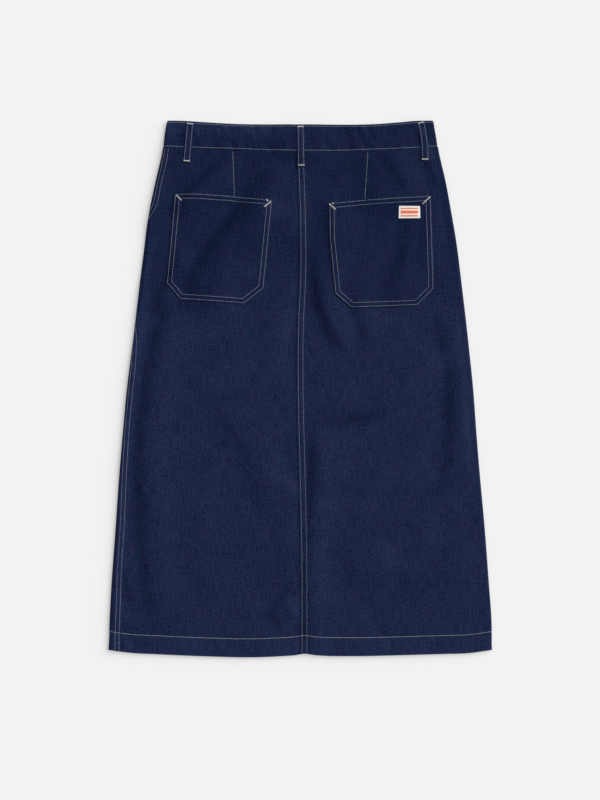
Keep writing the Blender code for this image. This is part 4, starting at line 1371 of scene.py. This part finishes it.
tacks = []
for place, ways in LOOP_TACKS.items():
    for way in ways:
        tacks.append(bar_tack(loop_point(LOOPS[place], 0.0 * LOOP_TACK_SIDE + way, LOOP_TACK_SIDE)))
for x1, y1, x2, y2 in zip(*POCKET_TACKS.values()):
    corners = LEFT_POCKET if x1 < 0.0 else RIGHT_POCKET
    tack_x, tack_y = x1 + (x2 - x1) * POCKET_TACK_WAY, y1 + (y2 - y1) * POCKET_TACK_WAY
    tacks.append(bar_tack(np.column_stack((tack_x, tack_y, pocket_face(corners, tack_x, tack_y)))))
sew("bar_tacks", tacks, white_thread, TACK_HEIGHT, TACK_THREAD)


# --------------------------------------------------------- table and studio
# A plain pale table top that glows faintly, as if lit through from below, its glow painted
# light that makes the skirt's shadows on it fainter; one wide soft lamp at the upper right and an
# even pale fill, with the camera straight above the middle of the skirt.
TABLE_HALF = 6000.0
# The glow is painted light: it fills in the shadows that the skirt casts on the table.
TABLE_GLOW = 0.40
WHITE = linear("FFFFFF")
bm = bmesh.new()
bmesh.ops.create_grid(bm, x_segments=1, y_segments=1, size=TABLE_HALF)
table_top = link_mesh("table_top", bm)
laminate, shader = new_material("white_laminate_painted_glow")
connect(laminate, shader, {
    "Base Color": linear("B3B3B3"), "Emission Color": WHITE, "Emission Strength": TABLE_GLOW,
    "Roughness": 0.9, "Specular IOR Level": 0.1,
})
table_top.data.materials.append(laminate)

LAMP_STRENGTH = 4.5
LAMP_SPREAD = math.radians(62.0)
LAMP_TURN = math.radians(29.0)
LAMP_HEIGHT = math.radians(35.0)
lamp = bpy.data.objects.new("soft_lamp", bpy.data.lights.new("soft_lamp", "SUN"))
lamp.data.energy = LAMP_STRENGTH
lamp.data.angle = LAMP_SPREAD
towards = Vector((
    math.cos(LAMP_HEIGHT) * math.cos(LAMP_TURN),
    math.cos(LAMP_HEIGHT) * math.sin(LAMP_TURN),
    math.sin(LAMP_HEIGHT),
))
lamp.rotation_mode = "QUATERNION"
lamp.rotation_quaternion = towards.to_track_quat("Z", "Y")
bpy.context.collection.objects.link(lamp)

FILL_STRENGTH = 0.26            # of the pale fill on the skirt
BACKDROP_STRENGTH = 0.889       # and as the camera sees it
world = bpy.data.worlds.new("studio_fill")
world.use_nodes = True
bpy.context.scene.world = world
background = world.node_tree.nodes["Background"]
seen = add_node(world, "LightPath", {}, "Is Camera Ray")
strength = add_node(world, "Mix", {0: seen, 2: FILL_STRENGTH, 3: BACKDROP_STRENGTH}, data_type="FLOAT")
connect(world, background, {"Color": WHITE, "Strength": strength})
bpy.context.scene.view_settings.view_transform = "Standard"

FRAME_HEIGHT = 1136.0           # millimetres of table that the view takes in
LENS = 85.0
SENSOR = 36.0
CAMERA_X, CAMERA_Y = -0.3, -15.6
camera = bpy.data.objects.new("camera", bpy.data.cameras.new("camera"))
camera.data.lens = LENS
camera.data.sensor_width = SENSOR
camera.data.clip_end = 20.0
camera.location = (CAMERA_X * MM, CAMERA_Y * MM, FRAME_HEIGHT * MM * LENS / SENSOR)
bpy.context.collection.objects.link(camera)
bpy.context.scene.camera = camera
